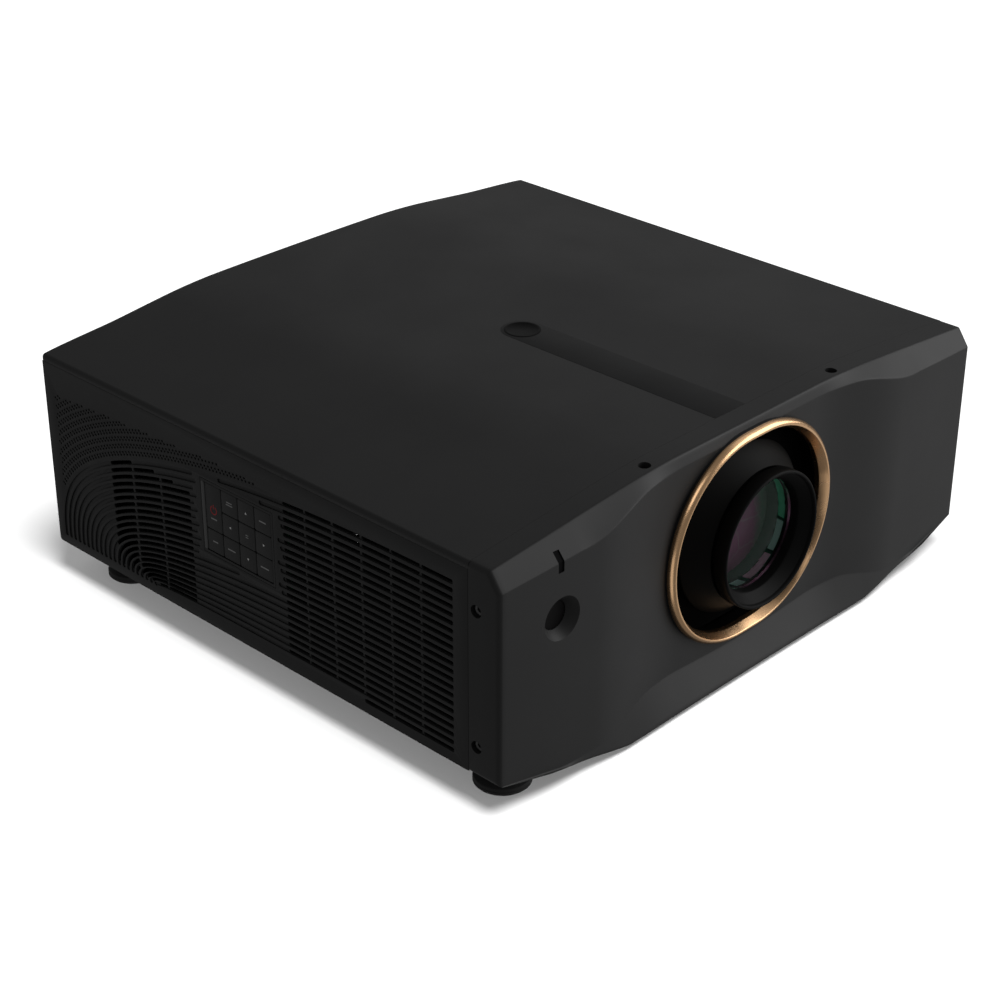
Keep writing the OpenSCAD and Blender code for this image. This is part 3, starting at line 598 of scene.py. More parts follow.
def cover_corners(x, inset, back):
    """Six corners (y, z) of the front cover at x, set in by a distance."""
    top = crown(x)
    corners = [
        (back, belly(x)), (chin_low_y(x), belly(x)), (face_y(x), chin_high(x)),
        (face_y(x), brow_low(x)), (BROW_Y, top), (back, top)
    ]
    moved = []
    for i, corner in enumerate(corners):
        here = Vector(corner)
        before = (here - Vector(corners[i - 1])).normalized()
        after = (Vector(corners[(i + 1) % 6]) - here).normalized()
        normals = Vector((before.y, -before.x)), Vector((after.y, -after.x))
        step = (normals[0] + normals[1]) / (1 + normals[0].dot(normals[1]))
        moved.append(here + step * inset)
    moved[0].x, moved[5].x = back, back
    moved[2].y = max(moved[2].y, moved[1].y + 0.4)
    return moved


def cover_loft(radii, back, xs, steps):
    """Points and faces of the front cover's outside."""
    rings = []
    for x, inset in xs:
        outline = held(fillet(cover_corners(x, inset, back), radii, steps))
        rings.append([(x, p.x, p.y) for p in outline])
    return loft(rings)


def cavity_loft(back, half, pitch):
    """Points and faces of the hollow behind the front cover."""
    rings = []
    count = round(half / pitch)
    for k in range(-count, count + 1):
        x = half * k / count
        floor_z, top = max(belly(x), chin_high(x)) + WALL, crown(x) - WALL - 0.5
        rings.append([(x, y, z) for y, z in (
            (back, floor_z), (face_y(x) + WALL, floor_z), (face_y(x) + WALL, brow_low(x) - WALL),
            (BROW_Y + WALL, top), (back, top)
        )])
    return loft(rings)


def stations(half, radius, pitch):
    """X stations across the cover, with the inset that rounds both flanks."""
    turn = [(half - radius + radius * math.sin(a), radius * (1 - math.cos(a)))
        for a in (math.pi / 2 * k / 6 for k in range(6, -1, -1))]
    count = round((half - radius) / pitch)
    right = turn + [((half - radius) * k / count, 0.0) for k in range(count - 1, 0, -1)]
    return [(-x, t) for x, t in right] + [(0.0, 0.0)] + [(x, t) for x, t in reversed(right)]


def flank_screws():
    """Hex socket screws sunk into both flanks of the cover."""
    for k, (y, z) in enumerate(FLANK_SCREWS):
        for s, flank in ((-1, "left"), (1, "right")):
            shape = rod((3.9, 3.5), (s * (HALF_W - 5), y, z), (s * (HALF_W - 2.6), y, z), 32)
            socket = rod((1.7, 1.7), (s * (HALF_W - 4), y, z), (s * HALF_W, y, z), 6)
            head = make(f"flank_screw_{k}_{flank}", *shape, SCREW_HEAD)
            cut(head, make("socket", *socket, SCREW_HEAD, None))


def status_window():
    """Dark light pipe that follows the bend from the face to the brow."""
    face, bend = face_y(STATUS_X), brow_low(STATUS_X)
    tilt = (crown(STATUS_X) - bend) / (BROW_Y - face)
    section = [(0, -7), (0, 0), (6 / tilt, 6), (4 + 6 / tilt, 6), (4, -7)]
    sides = (STATUS_X - STATUS_HALF + 0.05, STATUS_X + STATUS_HALF - 0.05)
    window = [[(x, face + 0.7 + y, bend + z) for y, z in section] for x in sides]
    light = make("status_window", *loft(window), LIGHT_PIPE, slot="light_pipe")
    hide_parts("status_light")


def front_cover():
    """Swept front with brow and chin, its openings, and the seat of the trim ring."""
    obj = make("front_cover_skin", *cover_loft((0.2, 2.2, 2.0, 1.8, 2.4, 0.2), SEAM_Y,
        stations(HALF_W, FLANK_R, 3), 4), CASING)
    cut(obj, make("cavity", *cavity_loft(SEAM_Y + 2, HALF_W - WALL - 1, 8), CASING, None))
    bosses = [rod((17, 17), (IR_X, -219.5, IR_Z), (IR_X, -207, IR_Z), 64)]
    for x, y in COVER_SCREWS:
        bosses.append(rod((6, 6), (x, y, TOP_Z - 11), (x, y, TOP_Z - 2)))
    for y, z in FLANK_SCREWS:
        for s in (-1, 1):
            bosses.append(rod((6, 6), (s * (HALF_W - 11), y, z), (s * (HALF_W - 2), y, z)))
    for k, boss in enumerate(bosses):
        cut(obj, make(f"boss_{k}", *boss, CASING, None), "UNION")
    cutters = [
        prism_y(stadium(RING_RX, RING_RZ, 0.5), -240, -196),
        rod((22.8, 9.8), (IR_X, -230.2, IR_Z), (IR_X, -214, IR_Z), 96),
        rod((9.8, 9.8), (IR_X, -216, IR_Z), (IR_X, -212, IR_Z), 64),
        rod((6.5, 6.5), (IR_X, -214, IR_Z), (IR_X, -200, IR_Z), 64),
        block(STATUS_X - STATUS_HALF, STATUS_X + STATUS_HALF, -230, -206,
            brow_low(STATUS_X) - 7, brow_low(STATUS_X) + 6),
    ]
    for x, y in COVER_SCREWS:
        cutters.append(rod((4, 4.3), (x, y, TOP_Z - SCREW_DEPTH), (x, y, TOP_Z + 2)))
    for y, z in FLANK_SCREWS:
        for s in (-1, 1):
            cutters.append(rod((4, 4.4), (s * (HALF_W - SCREW_DEPTH), y, z), (s * (HALF_W + 2), y, z)))
    for k, cutter in enumerate(cutters):
        cut(obj, make(f"cutter_{k}", *cutter, CASING, None))
    sharpen(obj, 30)
    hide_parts("front_cover")
    flank_screws()
    status_window()
    seat = [(0.1, -212.9), (0.4, -213.1), (4, -213.1), (4, -206.5), (0.1, -206.5)]
    make("ring_seat", *oval_band(seat, RING_RX, RING_RZ), CASING)


# ---- side panels --------------------------------------------------------------------------------

ROWS = 22
SWEEP_Y = -177
SWEEP_Z = 35
ROW_TOP = 156
GROOVE_H = 3.1
GRILLE_COLUMNS = [(-46, -27.5), (-71.5, -48.8), (-97.6, -74.7), (-124, -100.7), (-150, -127), (-177.5, -153)]
VENT_COLUMNS = [(68.5, 97), (100.3, 127.3), (130.6, 153)]
VENT_Z = (37, 125)
PANEL_T = 2.5
FACE_T = 0.9
PAD_LOW, PAD_HIGH = node_box("keypad_frame")


def sweep(k, turn):
    """Point (y, z) on slot row k: turn 0 is the level front, 90 degrees the rear end at the bottom."""
    reach, rise = 391 - 5.1 * k, ROW_TOP - SWEEP_Z - 5.69 * k
    return (
        SWEEP_Y + reach * math.sin(turn) ** (2 / 2.4),
        SWEEP_Z + rise * max(0.0, math.cos(turn)) ** (2 / 2.6),
    )


def row_points(k, y0, y1, low_z, steps):
    """Points along row k from y0 to y1, or down to a lowest height."""
    points = []
    for i in range(2001):
        point = sweep(k, math.pi / 2 * i / 2000)
        if y0 <= point[0] <= y1 and point[1] >= low_z:
            points.append(Vector(point))
    if len(points) < 2:
        return []
    keep = max(2, steps)
    return [points[round(i * (len(points) - 1) / (keep - 1))] for i in range(keep)]


def band(points, width):
    """Closed outline of a band of a given width along a row, with rounded ends."""
    left, right = [], []
    for i, p in enumerate(points):
        ahead, behind = points[min(i + 1, len(points) - 1)], points[max(i - 1, 0)]
        along = (ahead - behind).normalized()
        across = Vector((-along.y, along.x)) * width / 2
        left.append(p + across)
        right.append(p - across)
    first = (points[0] - points[1]).normalized() * width * 0.3
    last = (points[-1] - points[-2]).normalized() * width * 0.3
    inset_left, inset_right = left[0].lerp(right[0], 0.25), left[0].lerp(right[0], 0.75)
    end_left, end_right = left[-1].lerp(right[-1], 0.25), left[-1].lerp(right[-1], 0.75)
    ring = [inset_left + first] + left + [end_left + last, end_right + last]
    return [tuple(p) for p in ring + right[::-1] + [inset_right + first]]


def groove_bands(with_keypad):
    """Outlines of the shallow channels, split where the keypad interrupts them."""
    bands = []
    for k in range(ROWS):
        last_y = 500 if k < ROWS - 1 else GRILLE_COLUMNS[3][1]
        full = row_points(k, -500, last_y, 30.5, 70)
        front = [Vector((GRILLE_COLUMNS[-1][0] - 1, full[0].y))] if full else []
        points = front + full
        runs, run = [], []
        for p in points:
            inside = PAD_LOW.y - 3.4 < p.x < PAD_HIGH.y + 3.4 and PAD_LOW.z - 3.4 < p.y < PAD_HIGH.z + 3.4
            if with_keypad and inside:
                runs.append(run)
                run = []
            else:
                run.append(p)
        runs.append(run)
        bands += [band(r, GROOVE_H) for r in runs if len(r) > 2]
    return bands


def slot_outlines():
    """Outlines of the open slots, in the grille and in the rear vent."""
    outlines = []
    for k in range(ROWS):
        for y0, y1 in GRILLE_COLUMNS:
            if k == ROWS - 1 and y0 > -110:
                continue
            points = row_points(k, max(y0, SWEEP_Y), y1, 30, 3)
            if y0 < SWEEP_Y:
                points.insert(0, Vector((y0, points[0].y)))
            outlines.append(band(points, GROOVE_H - 0.3))
        for y0, y1 in VENT_COLUMNS:
            points = [p for p in row_points(k, y0, y1, VENT_Z[0], 6) if p.y < VENT_Z[1]]
            if len(points) > 2:
                outlines.append(band(points, GROOVE_H - 0.3))
    return outlines


def dot_outlines():
    """Small round pits that carry the rows on towards the rear upper corner, every other row offset."""
    outlines = []
    for k in range(22):
        row = -1.1 - k // 2 - 0.36 * (k % 2)
        walk, last = 0.0, None
        offset = 1.8 if k % 2 else 0.0
        for i in range(4001):
            y, z = sweep(row, math.pi / 2 * i / 4000)
            here = Vector((y, z))
            if last is not None:
                walk += (here - last).length
            last = here
            if walk + offset < 3.6:
                continue
            walk, offset = 0.0, 0.0
            if y < 0 or y > rear_line(HALF_W) - 12 or z > 156 - 0.05 * max(0, y - 40) or z < 76:
                continue
            ring = [2 * math.pi * j / 8 for j in range(8)]
            outlines.append([(y + 0.85 * math.cos(a), z + 0.85 * math.sin(a)) for a in ring])
    return outlines


def side_panel(side, name, node, with_keypad):
    """Side panel of two layers: grooves and pits in the face, and only the open slots in the back."""
    y0, y1 = SEAM_Y + GAP, rear_line(HALF_W) - 1.0
    z0, z1 = SIDE_LOW_Z + GAP, SEAM_Z - 0.1
    border = [tuple(p) for p in fillet([(y0, z0), (y1, z0), (y1, z1), (y0, z1)], (0.6, 3, 0.6, 0.6), 5)]
    holes = []
    if with_keypad:
        a, b = PAD_LOW, PAD_HIGH
        holes.append([(a.y - GAP, a.z - GAP), (b.y + GAP, a.z - GAP),
            (b.y + GAP, b.z + GAP), (a.y - GAP, b.z + GAP)])
    face = plate(name, [border] + holes + groove_bands(with_keypad) + dot_outlines(), FACE_T, 0.22)
    back = plate(name, [border] + holes + slot_outlines(), PANEL_T - FACE_T, 0.05)
    for part, (points, faces), x, t in (("face", face, 0, FACE_T), ("back", back, FACE_T, PANEL_T - FACE_T)):
        placed = [(side * (HALF_W - x - t / 2 - w), u, v) for u, v, w in points]
        obj = make(f"{name}_{part}", placed, faces, PANEL, sharp=40)
        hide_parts(node)


# ---- keypad -------------------------------------------------------------------------------------


def rounded_block(lo, hi, radius, steps=3):
    """Points and faces of a box whose edges round off towards its -X face."""
    rings = []
    profile = [(0.0, hi.x), (0.0, lo.x + radius)]
    for k in range(1, steps + 1):
        a = math.pi / 2 * k / steps
        profile.append((radius * (1 - math.cos(a)), lo.x + radius * (1 - math.sin(a))))
    for inset, x in profile:
        corners = [(lo.y + inset, lo.z + inset), (hi.y - inset, lo.z + inset),
            (hi.y - inset, hi.z - inset), (lo.y + inset, hi.z - inset)]
        rings.append([(x, p.x, p.y) for p in fillet(corners, (1.2,) * 4, 3)])
    return loft(rings)


def flat_mark(name, outline, x, material, body):
    """Printed mark: a thin plate on the key's face, outline in Y and Z."""
    points, faces = loft([[(px, y, z) for y, z in outline] for px in (x, x - 0.06)])
    return make(name, points, faces, material, body, "keycap")


def ring_mark(cy, cz, r_out, r_in, gap=0.0):
    """C-shaped or full ring as one outline."""
    a0, a1 = math.pi / 2 + gap, math.pi * 2.5 - gap
    turns = [a0 + (a1 - a0) * k / 28 for k in range(29)]
    outer = [(cy + r_out * math.cos(a), cz + r_out * math.sin(a)) for a in turns]
    inner = [(cy + r_in * math.cos(a), cz + r_in * math.sin(a)) for a in reversed(turns)]
    return outer + inner


def bar(cy, cz, w, h):
    """Upright rectangle round a centre."""
    return [(cy + sy * w / 2, cz + sz * h / 2) for sy, sz in ((-1, -1), (1, -1), (1, 1), (-1, 1))]


def arrow(cy, cz, size, direction):
    """Triangle that points up (0), to the rear (90), down (180) or to the front (270)."""
    turn = math.radians(direction)
    tips = [(0, size), (size * 0.9, -size * 0.6), (-size * 0.9, -size * 0.6)]
    c, s = math.cos(turn), math.sin(turn)
    return [(cy + y * c + z * s, cz + z * c - y * s) for y, z in tips]


def keypad():
    """Bar beside the keys, and the key caps with their printed marks."""
    marks = {
        "key_input": lambda y, z: [bar(y, z + 1.4, 5.5, 0.7), bar(y, z - 0.4, 6.5, 0.7)],
        "key_up": lambda y, z: [arrow(y, z, 1.1, 0)],
        "key_menu": lambda y, z: [bar(y, z, 6.5, 0.9)],
        "key_left": lambda y, z: [arrow(y, z, 1.1, 90)],
        "key_enter": lambda y, z: [bar(y, z + 0.8, 2.6, 0.6), bar(y, z - 0.8, 2.6, 0.6)],
        "key_right": lambda y, z: [arrow(y, z, 1.1, 270)],
        "key_lens": lambda y, z: [bar(y, z, 5, 0.9)],
        "key_shutter": lambda y, z: [bar(y, z, 7.5, 0.9)],
        "key_down": lambda y, z: [arrow(y, z, 1.1, 180)],
        "key_source": lambda y, z: [bar(y, z, 8, 0.9)],
    }
    lo, hi = PAD_LOW, PAD_HIGH
    bar_low = Vector((lo.x - 0.05, hi.y - 3.4, lo.z + 2))
    bar_high = Vector((lo.x + 1, hi.y - 0.2, hi.z - 2))
    make("keypad_bar", *rounded_block(bar_low, bar_high, 0.3), BAR_GREY, "root", "keycap")
    for node in [n for n in frame["nodes"] if n.startswith("key_")]:
        lo, hi = node_box(node)
        piece = make(f"{node}_cap", *rounded_block(lo, hi, 0.5), KEY, node, "keycap")
        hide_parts(node)
        y, z = (lo.y + hi.y) / 2, (lo.z + hi.z) / 2
        if node == "key_power":
            low_z = lo.z + (hi.z - lo.z) * 0.45
            flat_mark("power_ring", ring_mark(y, low_z, 3.4, 2.5, 0.5), lo.x, PRINT_RED, node)
            flat_mark("power_bar", bar(y, low_z + 2.6, 0.9, 3.2), lo.x, PRINT_RED, node)
            flat_mark("power_line", bar(y, low_z - 6.6, 6, 0.9), lo.x, PRINT_GREY, node)
            continue
        arrow_key = node in ("key_up", "key_down", "key_left", "key_right")
        for k, outline in enumerate(marks[node](y, z)):
            flat_mark(f"{node}_mark_{k}", outline, lo.x, PRINT_WHITE if arrow_key else PRINT_GREY, node)


# ---- lens ---------------------------------------------------------------------------------------


def trim_ring():
    """Champagne ring with a narrow lip and a broad inner bevel, and the shroud behind it."""
    front = node_box("lens_trim_ring")[0].y
    profile = [(0.0, -213), (0.0, front + 3.9), (0.25, front + 2.7), (0.8, front + 1.6), (1.6, front + 0.7),
        (2.5, front + 0.2), (3.3, front), (3.9, front + 0.1), (4.3, front + 0.5), (7.0, front + 5.6),
        (7.2, front + 6.4), (7.2, front + 9.5), (4.9, front + 9.8), (4.8, front + 5.2)]
    ring = make("trim_ring", *oval_band(profile, RING_RX, RING_RZ), GOLD, slot="champagne", sharp=28)
    weigh_normals(ring)
    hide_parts("lens_trim_ring")
    lo, hi = node_box("lens_shroud")
    profile = [(5.6, lo.y - 1.5), (2.2, lo.y + 0.4), (1.0, lo.y + 0.4), (1.0, hi.y), (3.2, hi.y),
        (5.0, lo.y + 2)]
    shroud = make("shroud", *oval_band(profile, RING_RX, RING_RZ), LINER, slot="lens_black")
    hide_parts("lens_shroud")


BORE_R = 47.4
BAFFLE_RX, BAFFLE_RZ = 86, 71.5
BAFFLE_FRONT, BAFFLE_BACK = -195.7, -194.7


def lens():
    """Skirt and bezel as turned parts, and the baffle that closes the gap behind the shroud: a dark sheet
    that puts painted shade there.
    """
    r = node_box("lens_skirt")[1].x
    skirt = [(47.3, -219.2), (47.9, -219.2), (r - 0.9, -204.7), (r - 0.3, -204.3), (r, -203.8), (r, -203.2),
        (r - 1.2, -202.8), (47.3, -216.5)]
    turned = lathe(skirt + skirt[:1], 0, LENS_Z, segments=128)
    piece = make("skirt", *turned, SKIRT, "lens_body", "lens_black")
    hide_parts("lens_skirt")
    # Painted shade: a dark sheet behind the shroud, so the gap shows shade and not the parts behind it.
    edge = stadium(BAFFLE_RX, BAFFLE_RZ, 0, 40)
    turns = [math.atan2(z - LENS_Z, x) for x, z in edge]
    hole = [(BORE_R * math.cos(a), LENS_Z + BORE_R * math.sin(a)) for a in turns]
    rings = [[(x, y, z) for x, z in outline] for outline, y in (
        (hole, BAFFLE_FRONT), (edge, BAFFLE_FRONT), (edge, BAFFLE_BACK), (hole, BAFFLE_BACK),
        (hole, BAFFLE_FRONT)
    )]
    make("lens_baffle", *loft(rings, closed_ends=False), LINER, "lens_body", "lens_black")
    rim = node_box("lens_bezel")[1].x
    f = FRONT_Y
    glass = node_box("front_lens")[1].x
    bezel = [(rim - 6.6, -208), (glass + 0.1, -208), (glass + 0.1, f + 9.6), (glass + 0.5, f + 8.8),
        (glass + 1.4, f + 8.2), (rim - 3.4, f + 2.6), (rim - 2.9, f + 2.4), (rim - 2.4, f + 0.6),
        (rim - 1.9, f + 0.1), (rim - 1.3, f), (rim - 0.7, f + 0.15), (rim - 0.15, f + 0.7), (rim, f + 1.4),
        (rim, f + 9.2), (rim - 0.5, f + 9.9), (rim - 1.0, f + 10), (rim - 6.6, f + 10)]
    turned = lathe(bezel + bezel[:1], 0, LENS_Z, segments=128)
    piece = make("front_bezel", *turned, LENS_BLACK, "front_cell", "lens_black", 40)
    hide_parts("lens_bezel")


# ---- feet ---------------------------------------------------------------------------------------


def feet():
    """Round rubber pads with a turned rim and a bore for the screw."""
    for node in [n for n in frame["nodes"] if n.startswith("foot_pad_")]:
        lo, hi = node_box(node)
        x, y, r = (lo.x + hi.x) / 2, (lo.y + hi.y) / 2, (hi.x - lo.x) / 2
        profile = [(4.1, 3), (6.1, 3), (6.1, 7.2), (4.1, 7.2), (4.1, 9.9), (4.5, 10), (10, 10), (12, 9.6),
            (r - 1.6, 6), (r - 0.4, 5.2), (r, 4.2), (r, 3.2), (r - 0.5, 2.9), (r, 2.6), (r, 1.0), (r - 1, 0),
            (r - 4, 0), (r - 4.5, 0.5), (4.2, 0.5), (4.1, 0.8)]
        turned = lathe(profile + profile[:1], x, y, "Z", 64)
        piece = make(f"{node}_rubber", *turned, RUBBER, node, "foot_rubber")
        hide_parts(node)


# ---- glass --------------------------------------------------------------------------------------


def coated_glass():
    """Clear front glass whose surface reflection is faintly green."""
    shader = Shader("front_coating", (0.93, 1.0, 0.96), 0.01)
    shader.surface.inputs["Transmission Weight"].default_value = 1.0
    shader.surface.inputs["IOR"].default_value = 1.2
    shader.surface.inputs["Specular Tint"].default_value = (0.10, 0.24, 0.15, 1)
    return shader.smudge(25, 0.004).mottle(20, 0.01).material


def inner_glass(name, colour, tint):
    """Dark coated element deeper in the lens."""
    shader = Shader(name, colour, 0.08, 0, 0.6)
    shader.surface.inputs["Specular Tint"].default_value = (*tint, 1)
    return shader.smudge(25, 0.02).mottle(14, 0.2).material


# Painted reflection colours of the first inner element, split by place in X, and the colour of its painted
# highlight edges.
REFLECTION_PURPLE = (0.30, 0.085, 0.20)
REFLECTION_GREEN = (0.12, 0.21, 0.16)
HIGHLIGHT_EDGE = (0.34, 0.33, 0.34)
REFLECTION_SPLIT = (0.026, 0.036)
FACET_SCALE = 42
HIGHLIGHT_WIDTH, HIGHLIGHT_STRENGTH = 0.03, 0.28


def painted_reflection_glass(material):
    """Painted reflection: purple on one side and grey-green on the other, in faint facets whose light edges
    are painted highlights.
    """
    tree = material.node_tree
    surface = tree.nodes["Principled BSDF"]
    split = tree.nodes.new("ShaderNodeSeparateXYZ")
    side = tree.nodes.new("ShaderNodeMapRange")
    side.inputs["From Min"].default_value, side.inputs["From Max"].default_value = REFLECTION_SPLIT
    tint = tree.nodes.new("ShaderNodeMix")
    tint.data_type = "RGBA"
    tint.inputs["A"].default_value = (*REFLECTION_PURPLE, 1)
    tint.inputs["B"].default_value = (*REFLECTION_GREEN, 1)
    cells = tree.nodes.new("ShaderNodeTexVoronoi")
    cells.feature = "DISTANCE_TO_EDGE"
    cells.inputs["Scale"].default_value = FACET_SCALE
    line = tree.nodes.new("ShaderNodeMapRange")
    line.inputs["From Max"].default_value = HIGHLIGHT_WIDTH
    line.inputs["To Min"].default_value = HIGHLIGHT_STRENGTH
    line.inputs["To Max"].default_value = 0
    # Painted highlight: light lines along the facet edges.
    highlight_streak = tree.nodes.new("ShaderNodeMix")
    highlight_streak.data_type = "RGBA"
    highlight_streak.inputs["B"].default_value = (*HIGHLIGHT_EDGE, 1)
    place = tree.nodes.new("ShaderNodeTexCoord")
    tree.links.new(place.outputs["Object"], split.inputs[0])
    tree.links.new(place.outputs["Object"], cells.inputs["Vector"])
    tree.links.new(split.outputs["X"], side.inputs["Value"])
    tree.links.new(side.outputs["Result"], tint.inputs["Factor"])
    tree.links.new(cells.outputs["Distance"], line.inputs["Value"])
    tree.links.new(line.outputs["Result"], highlight_streak.inputs["Factor"])
    tree.links.new(tint.outputs["Result"], highlight_streak.inputs["A"])
    tree.links.new(highlight_streak.outputs["Result"], surface.inputs["Base Color"])
    return material


def dome(radius, back, edge, bulge, steps=24):
    """Profile of a lens with a convex front, from its axis at the back round to its axis at the front."""
    front = [(radius * k / steps, -edge - bulge * (1 - (k / steps) ** 2)) for k in range(steps, -1, -1)]
    return [(0, -back), (radius, -back)] + front


GLINT_FRONT, GLINT_BACK, GLINT_T = -205, -199.4, 0.5


def wall_glint(k, wall, start, end, tone):
    """Thin arc on the barrel wall between two angles in degrees, painted in a light colour as a reflection.
    """
    turns = [math.radians(start + (end - start) * j / 8) for j in range(9)]
    inner = wall - GLINT_T
    section = ((GLINT_FRONT, inner), (GLINT_FRONT, wall), (GLINT_BACK, wall), (GLINT_BACK, inner))
    points = [(r * math.cos(a), y, LENS_Z + r * math.sin(a)) for y, r in section for a in turns]
    faces = [(i * 9 + j, i * 9 + j + 1, (i + 1) % 4 * 9 + j + 1, (i + 1) % 4 * 9 + j)
        for i in range(4) for j in range(8)]
    faces += [(0, 9, 18, 27), (8, 17, 26, 35)]
    make(f"wall_glint_{k}", points, faces, tone, "lens_body", "coated_glass")


def glass_parts():
    """Front glass, coated inner elements, the barrel wall and four arcs on it; the wall's green is a painted
    reflection of the coatings, and the arcs are painted reflections.
    """
    frame["nodes"]["front_lens"].data.materials.clear()
    frame["nodes"]["front_lens"].data.materials.append(coated_glass())
    wall = node_box("inner_lenses")[1].x
    # Green base colour: painted reflection of the coatings, on the deeper elements and the barrel wall. The
    # specular tint reflects for real.
    green = inner_glass("green_reflection_coating", (0.006, 0.075, 0.042), (0.25, 0.7, 0.4))
    # The first element's colour is a painted reflection, purple and grey-green, with painted highlight edges.
    reflected_coating = painted_reflection_glass(inner_glass("painted_reflection_coating", REFLECTION_PURPLE, (0.8, 0.7, 0.8)))
    elements = ((186, 192, 6, reflected_coating), (150, 155, 4, green), (110, 116, 5, green))
    for k, (back, edge, bulge, coating) in enumerate(elements):
        turned = lathe(dome(wall, back, edge, bulge), 0, LENS_Z, segments=96)
        piece = make(f"inner_element_{k}", *turned, coating, "zoom_group", "coated_glass", 40)
        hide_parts("inner_lenses")
    # Barrel wall painted green as the coatings' reflection.
    liner = [(wall + 0.01, -208), (wall + 0.06, -208), (wall + 0.06, -187), (wall + 0.01, -187)]
    make("barrel_wall", *lathe(liner + liner[:1], 0, LENS_Z, segments=96), green, "lens_body", "coated_glass")
    # Painted reflections: pale, rose and green arcs where softbox light reflects in the coatings.
    pale = moulded("wall_glint_pale", (0.60, 0.92, 0.84), 0.3)
    rose = moulded("wall_glint_rose", (0.92, 0.66, 0.80), 0.3)
    deep = moulded("wall_glint_green", (0.20, 0.85, 0.52), 0.3)
    arcs = ((70, -12, deep), (-15, -42, pale), (-46, -76, rose), (-82, -92, pale))
    for k, (start, end, tone) in enumerate(arcs):
        wall_glint(k, wall, start, end, tone)


# ---- CAD nodes that stay ------------------------------------------------------------------------


def dress_nodes():
    """Gives each CAD node the material of its slot."""
    slots = {part["node"]: part["material_slot"] for part in frame["record"]["subparts"]}
    for name, obj in frame["nodes"].items():
        material = SLOT_MATERIALS.get(slots[name])
        if material is None:
            continue
        if name == "keypad_frame":
            material = PANEL
        obj.data.materials.clear()
        obj.data.materials.append(material)


# ---- studio -------------------------------------------------------------------------------------


def camera():
    """Three-quarter view from the front left, slightly above."""
    azimuth, elevation, roll = (math.radians(a) for a in (-46.218, 28.436, 0.156))
    back = Vector((
        math.sin(azimuth) * math.cos(elevation), -math.cos(azimuth) * math.cos(elevation), math.sin(elevation)
    ))
    right = Vector((math.cos(azimuth), math.sin(azimuth), 0))
    up = back.cross(right)
    turned = Matrix((
        right * math.cos(roll) + up * math.sin(roll), up * math.cos(roll) - right * math.sin(roll), back
    )).transposed()
    data = bpy.data.cameras.new("camera")
    data.lens = 79.93
    data.sensor_width = 36
    cam = bpy.data.objects.new("camera", data)
    bpy.context.scene.collection.objects.link(cam)
    cam.matrix_world = Matrix.LocRotScale(Vector((-1.03345, -0.97622, 0.81910)), turned.to_quaternion(), None)
    bpy.context.scene.camera = cam


FLOOR_WHITE = 0.86


FLOOR_HALF = 6


def floor():
    """Pale floor that the camera sees, kept out of bounces and reflections."""
    mesh = bpy.data.meshes.new("floor")
    corners = [(x * FLOOR_HALF, y * FLOOR_HALF, 0) for x, y in ((-1, -1), (1, -1), (1, 1), (-1, 1))]
    mesh.from_pydata(corners, [], [(0, 1, 2, 3)])
    obj = bpy.data.objects.new("floor", mesh)
    bpy.context.scene.collection.objects.link(obj)
    mesh.materials.append(Shader("floor_paper", (FLOOR_WHITE,) * 3, 0.9, 0, 0.1).mottle(2, 0.01).material)
    obj.visible_diffuse = obj.visible_glossy = obj.visible_transmission = obj.visible_shadow = False


def aimed(data, name, place, aim):
    """A light object at a place, pointing at another."""
    obj = bpy.data.objects.new(name, data)
    bpy.context.scene.collection.objects.link(obj)
    obj.location = place
    obj.rotation_euler = (Vector(aim) - Vector(place)).to_track_quat("-Z", "Y").to_euler()
    return obj


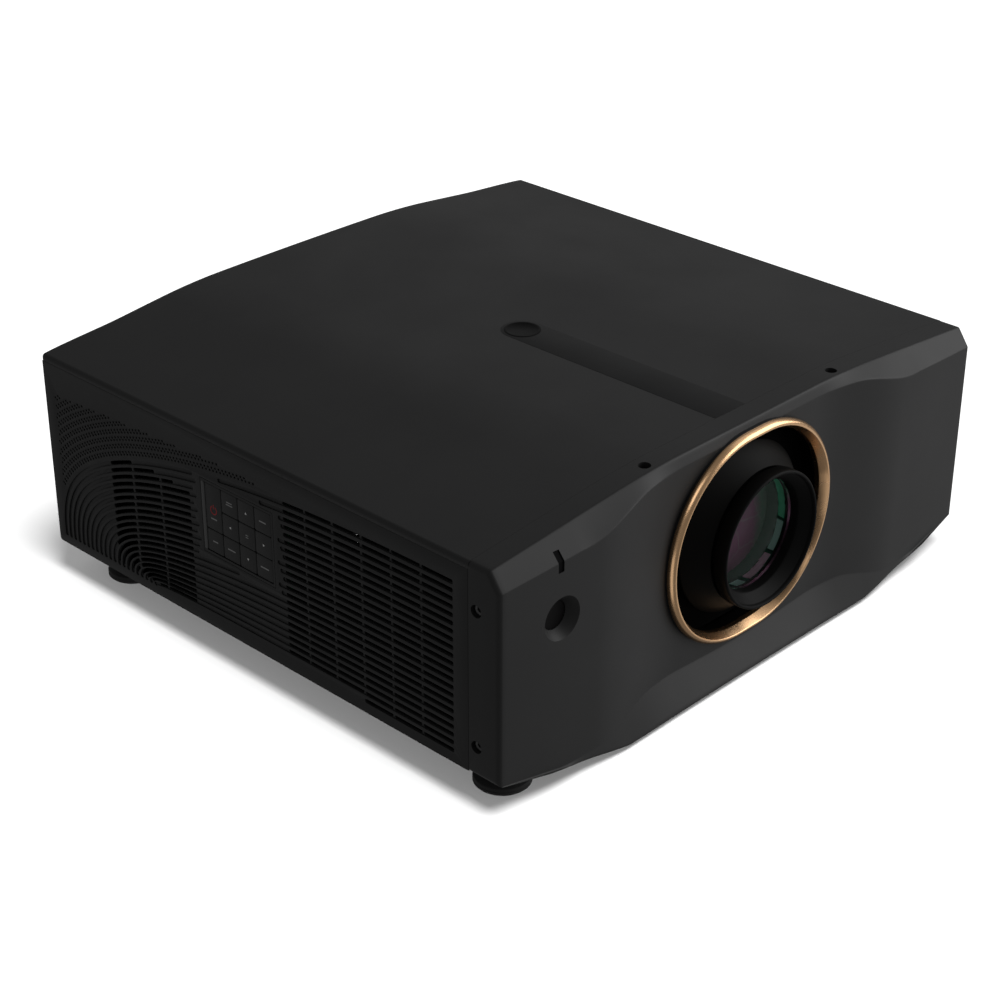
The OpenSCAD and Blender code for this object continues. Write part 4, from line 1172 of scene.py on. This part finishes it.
def softbox(name, place, aim, size, power, named=("floor",), state="EXCLUDE"):
    """Rectangular light that leaves out, or only reaches, the named objects."""
    data = bpy.data.lights.new(name, "AREA")
    data.shape = "RECTANGLE"
    data.size, data.size_y = size
    data.energy = power
    group = bpy.data.collections.new(f"{name}_named")
    for other in named:
        group.objects.link(bpy.data.objects[other])
    for member in group.collection_objects:
        member.light_linking.link_state = state
    aimed(data, name, place, aim).light_linking.receiver_collection = group


def floor_sun(name, radiance, angle, tilt, shadow):
    """Sun that only reaches the floor."""
    data = bpy.data.lights.new(name, "SUN")
    data.energy = radiance * math.pi / FLOOR_WHITE
    data.angle = math.radians(angle)
    data.use_shadow = shadow
    group = bpy.data.collections.new(f"{name}_reaches")
    group.objects.link(bpy.data.objects["floor"])
    aimed(data, name, (tilt[0], tilt[1], 1), (0, 0, 0)).light_linking.receiver_collection = group


def lights():
    """Suns that whiten the floor and throw the narrow shadow, and softboxes for the projector alone."""
    floor_sun("floor_key", 0.97, 25, (-0.09, -0.44), True)
    floor_sun("floor_fill", 0.17, 1, (0, 0), False)
    glass = ("floor", frame["nodes"]["front_lens"].name)
    ring, ring_aim = ("trim_ring",), (0, -0.21, 0.1)
    softbox("rear_right", (1.9, 1.5, 1.3), (0, 0, 0.1), (1.4, 1.0), 1.5)
    softbox("front_right_high", (1.35, -1.3, 0.95), (0, -0.1, 0.1), (1.8, 1.5), 30, glass)
    softbox("front_right_low", (1.45, -1.4, -0.75), (0, -0.1, 0.1), (1.8, 1.3), 3.5, glass)
    softbox("ring_low_left", (-1.36, -0.57, -0.67), ring_aim, (1.6, 1.3), 4.5, ring, "INCLUDE")
    softbox("ring_high_right", (1.0, -0.32, 1.3), ring_aim, (1.2, 1.2), 3.0, ring, "INCLUDE")
    softbox("ring_high_left", (-0.86, -0.69, 1.18), (0.04, -0.21, 0.06), (0.7, 0.7), 3.0, ring, "INCLUDE")
    world = bpy.data.worlds.new("studio")
    world.use_nodes = True
    world.node_tree.nodes["Background"].inputs["Color"].default_value = (1, 1, 1, 1)
    world.node_tree.nodes["Background"].inputs["Strength"].default_value = 0.25
    bpy.context.scene.world = world
    bpy.context.scene.view_settings.view_transform = "Standard"


dress_nodes()
top_cover()
top_strip()
front_cover()
side_panel(-1, "left_panel", "left_panel", True)
side_panel(1, "right_panel", "right_panel", False)
keypad()
trim_ring()
lens()
feet()
glass_parts()
camera()
floor()
lights()
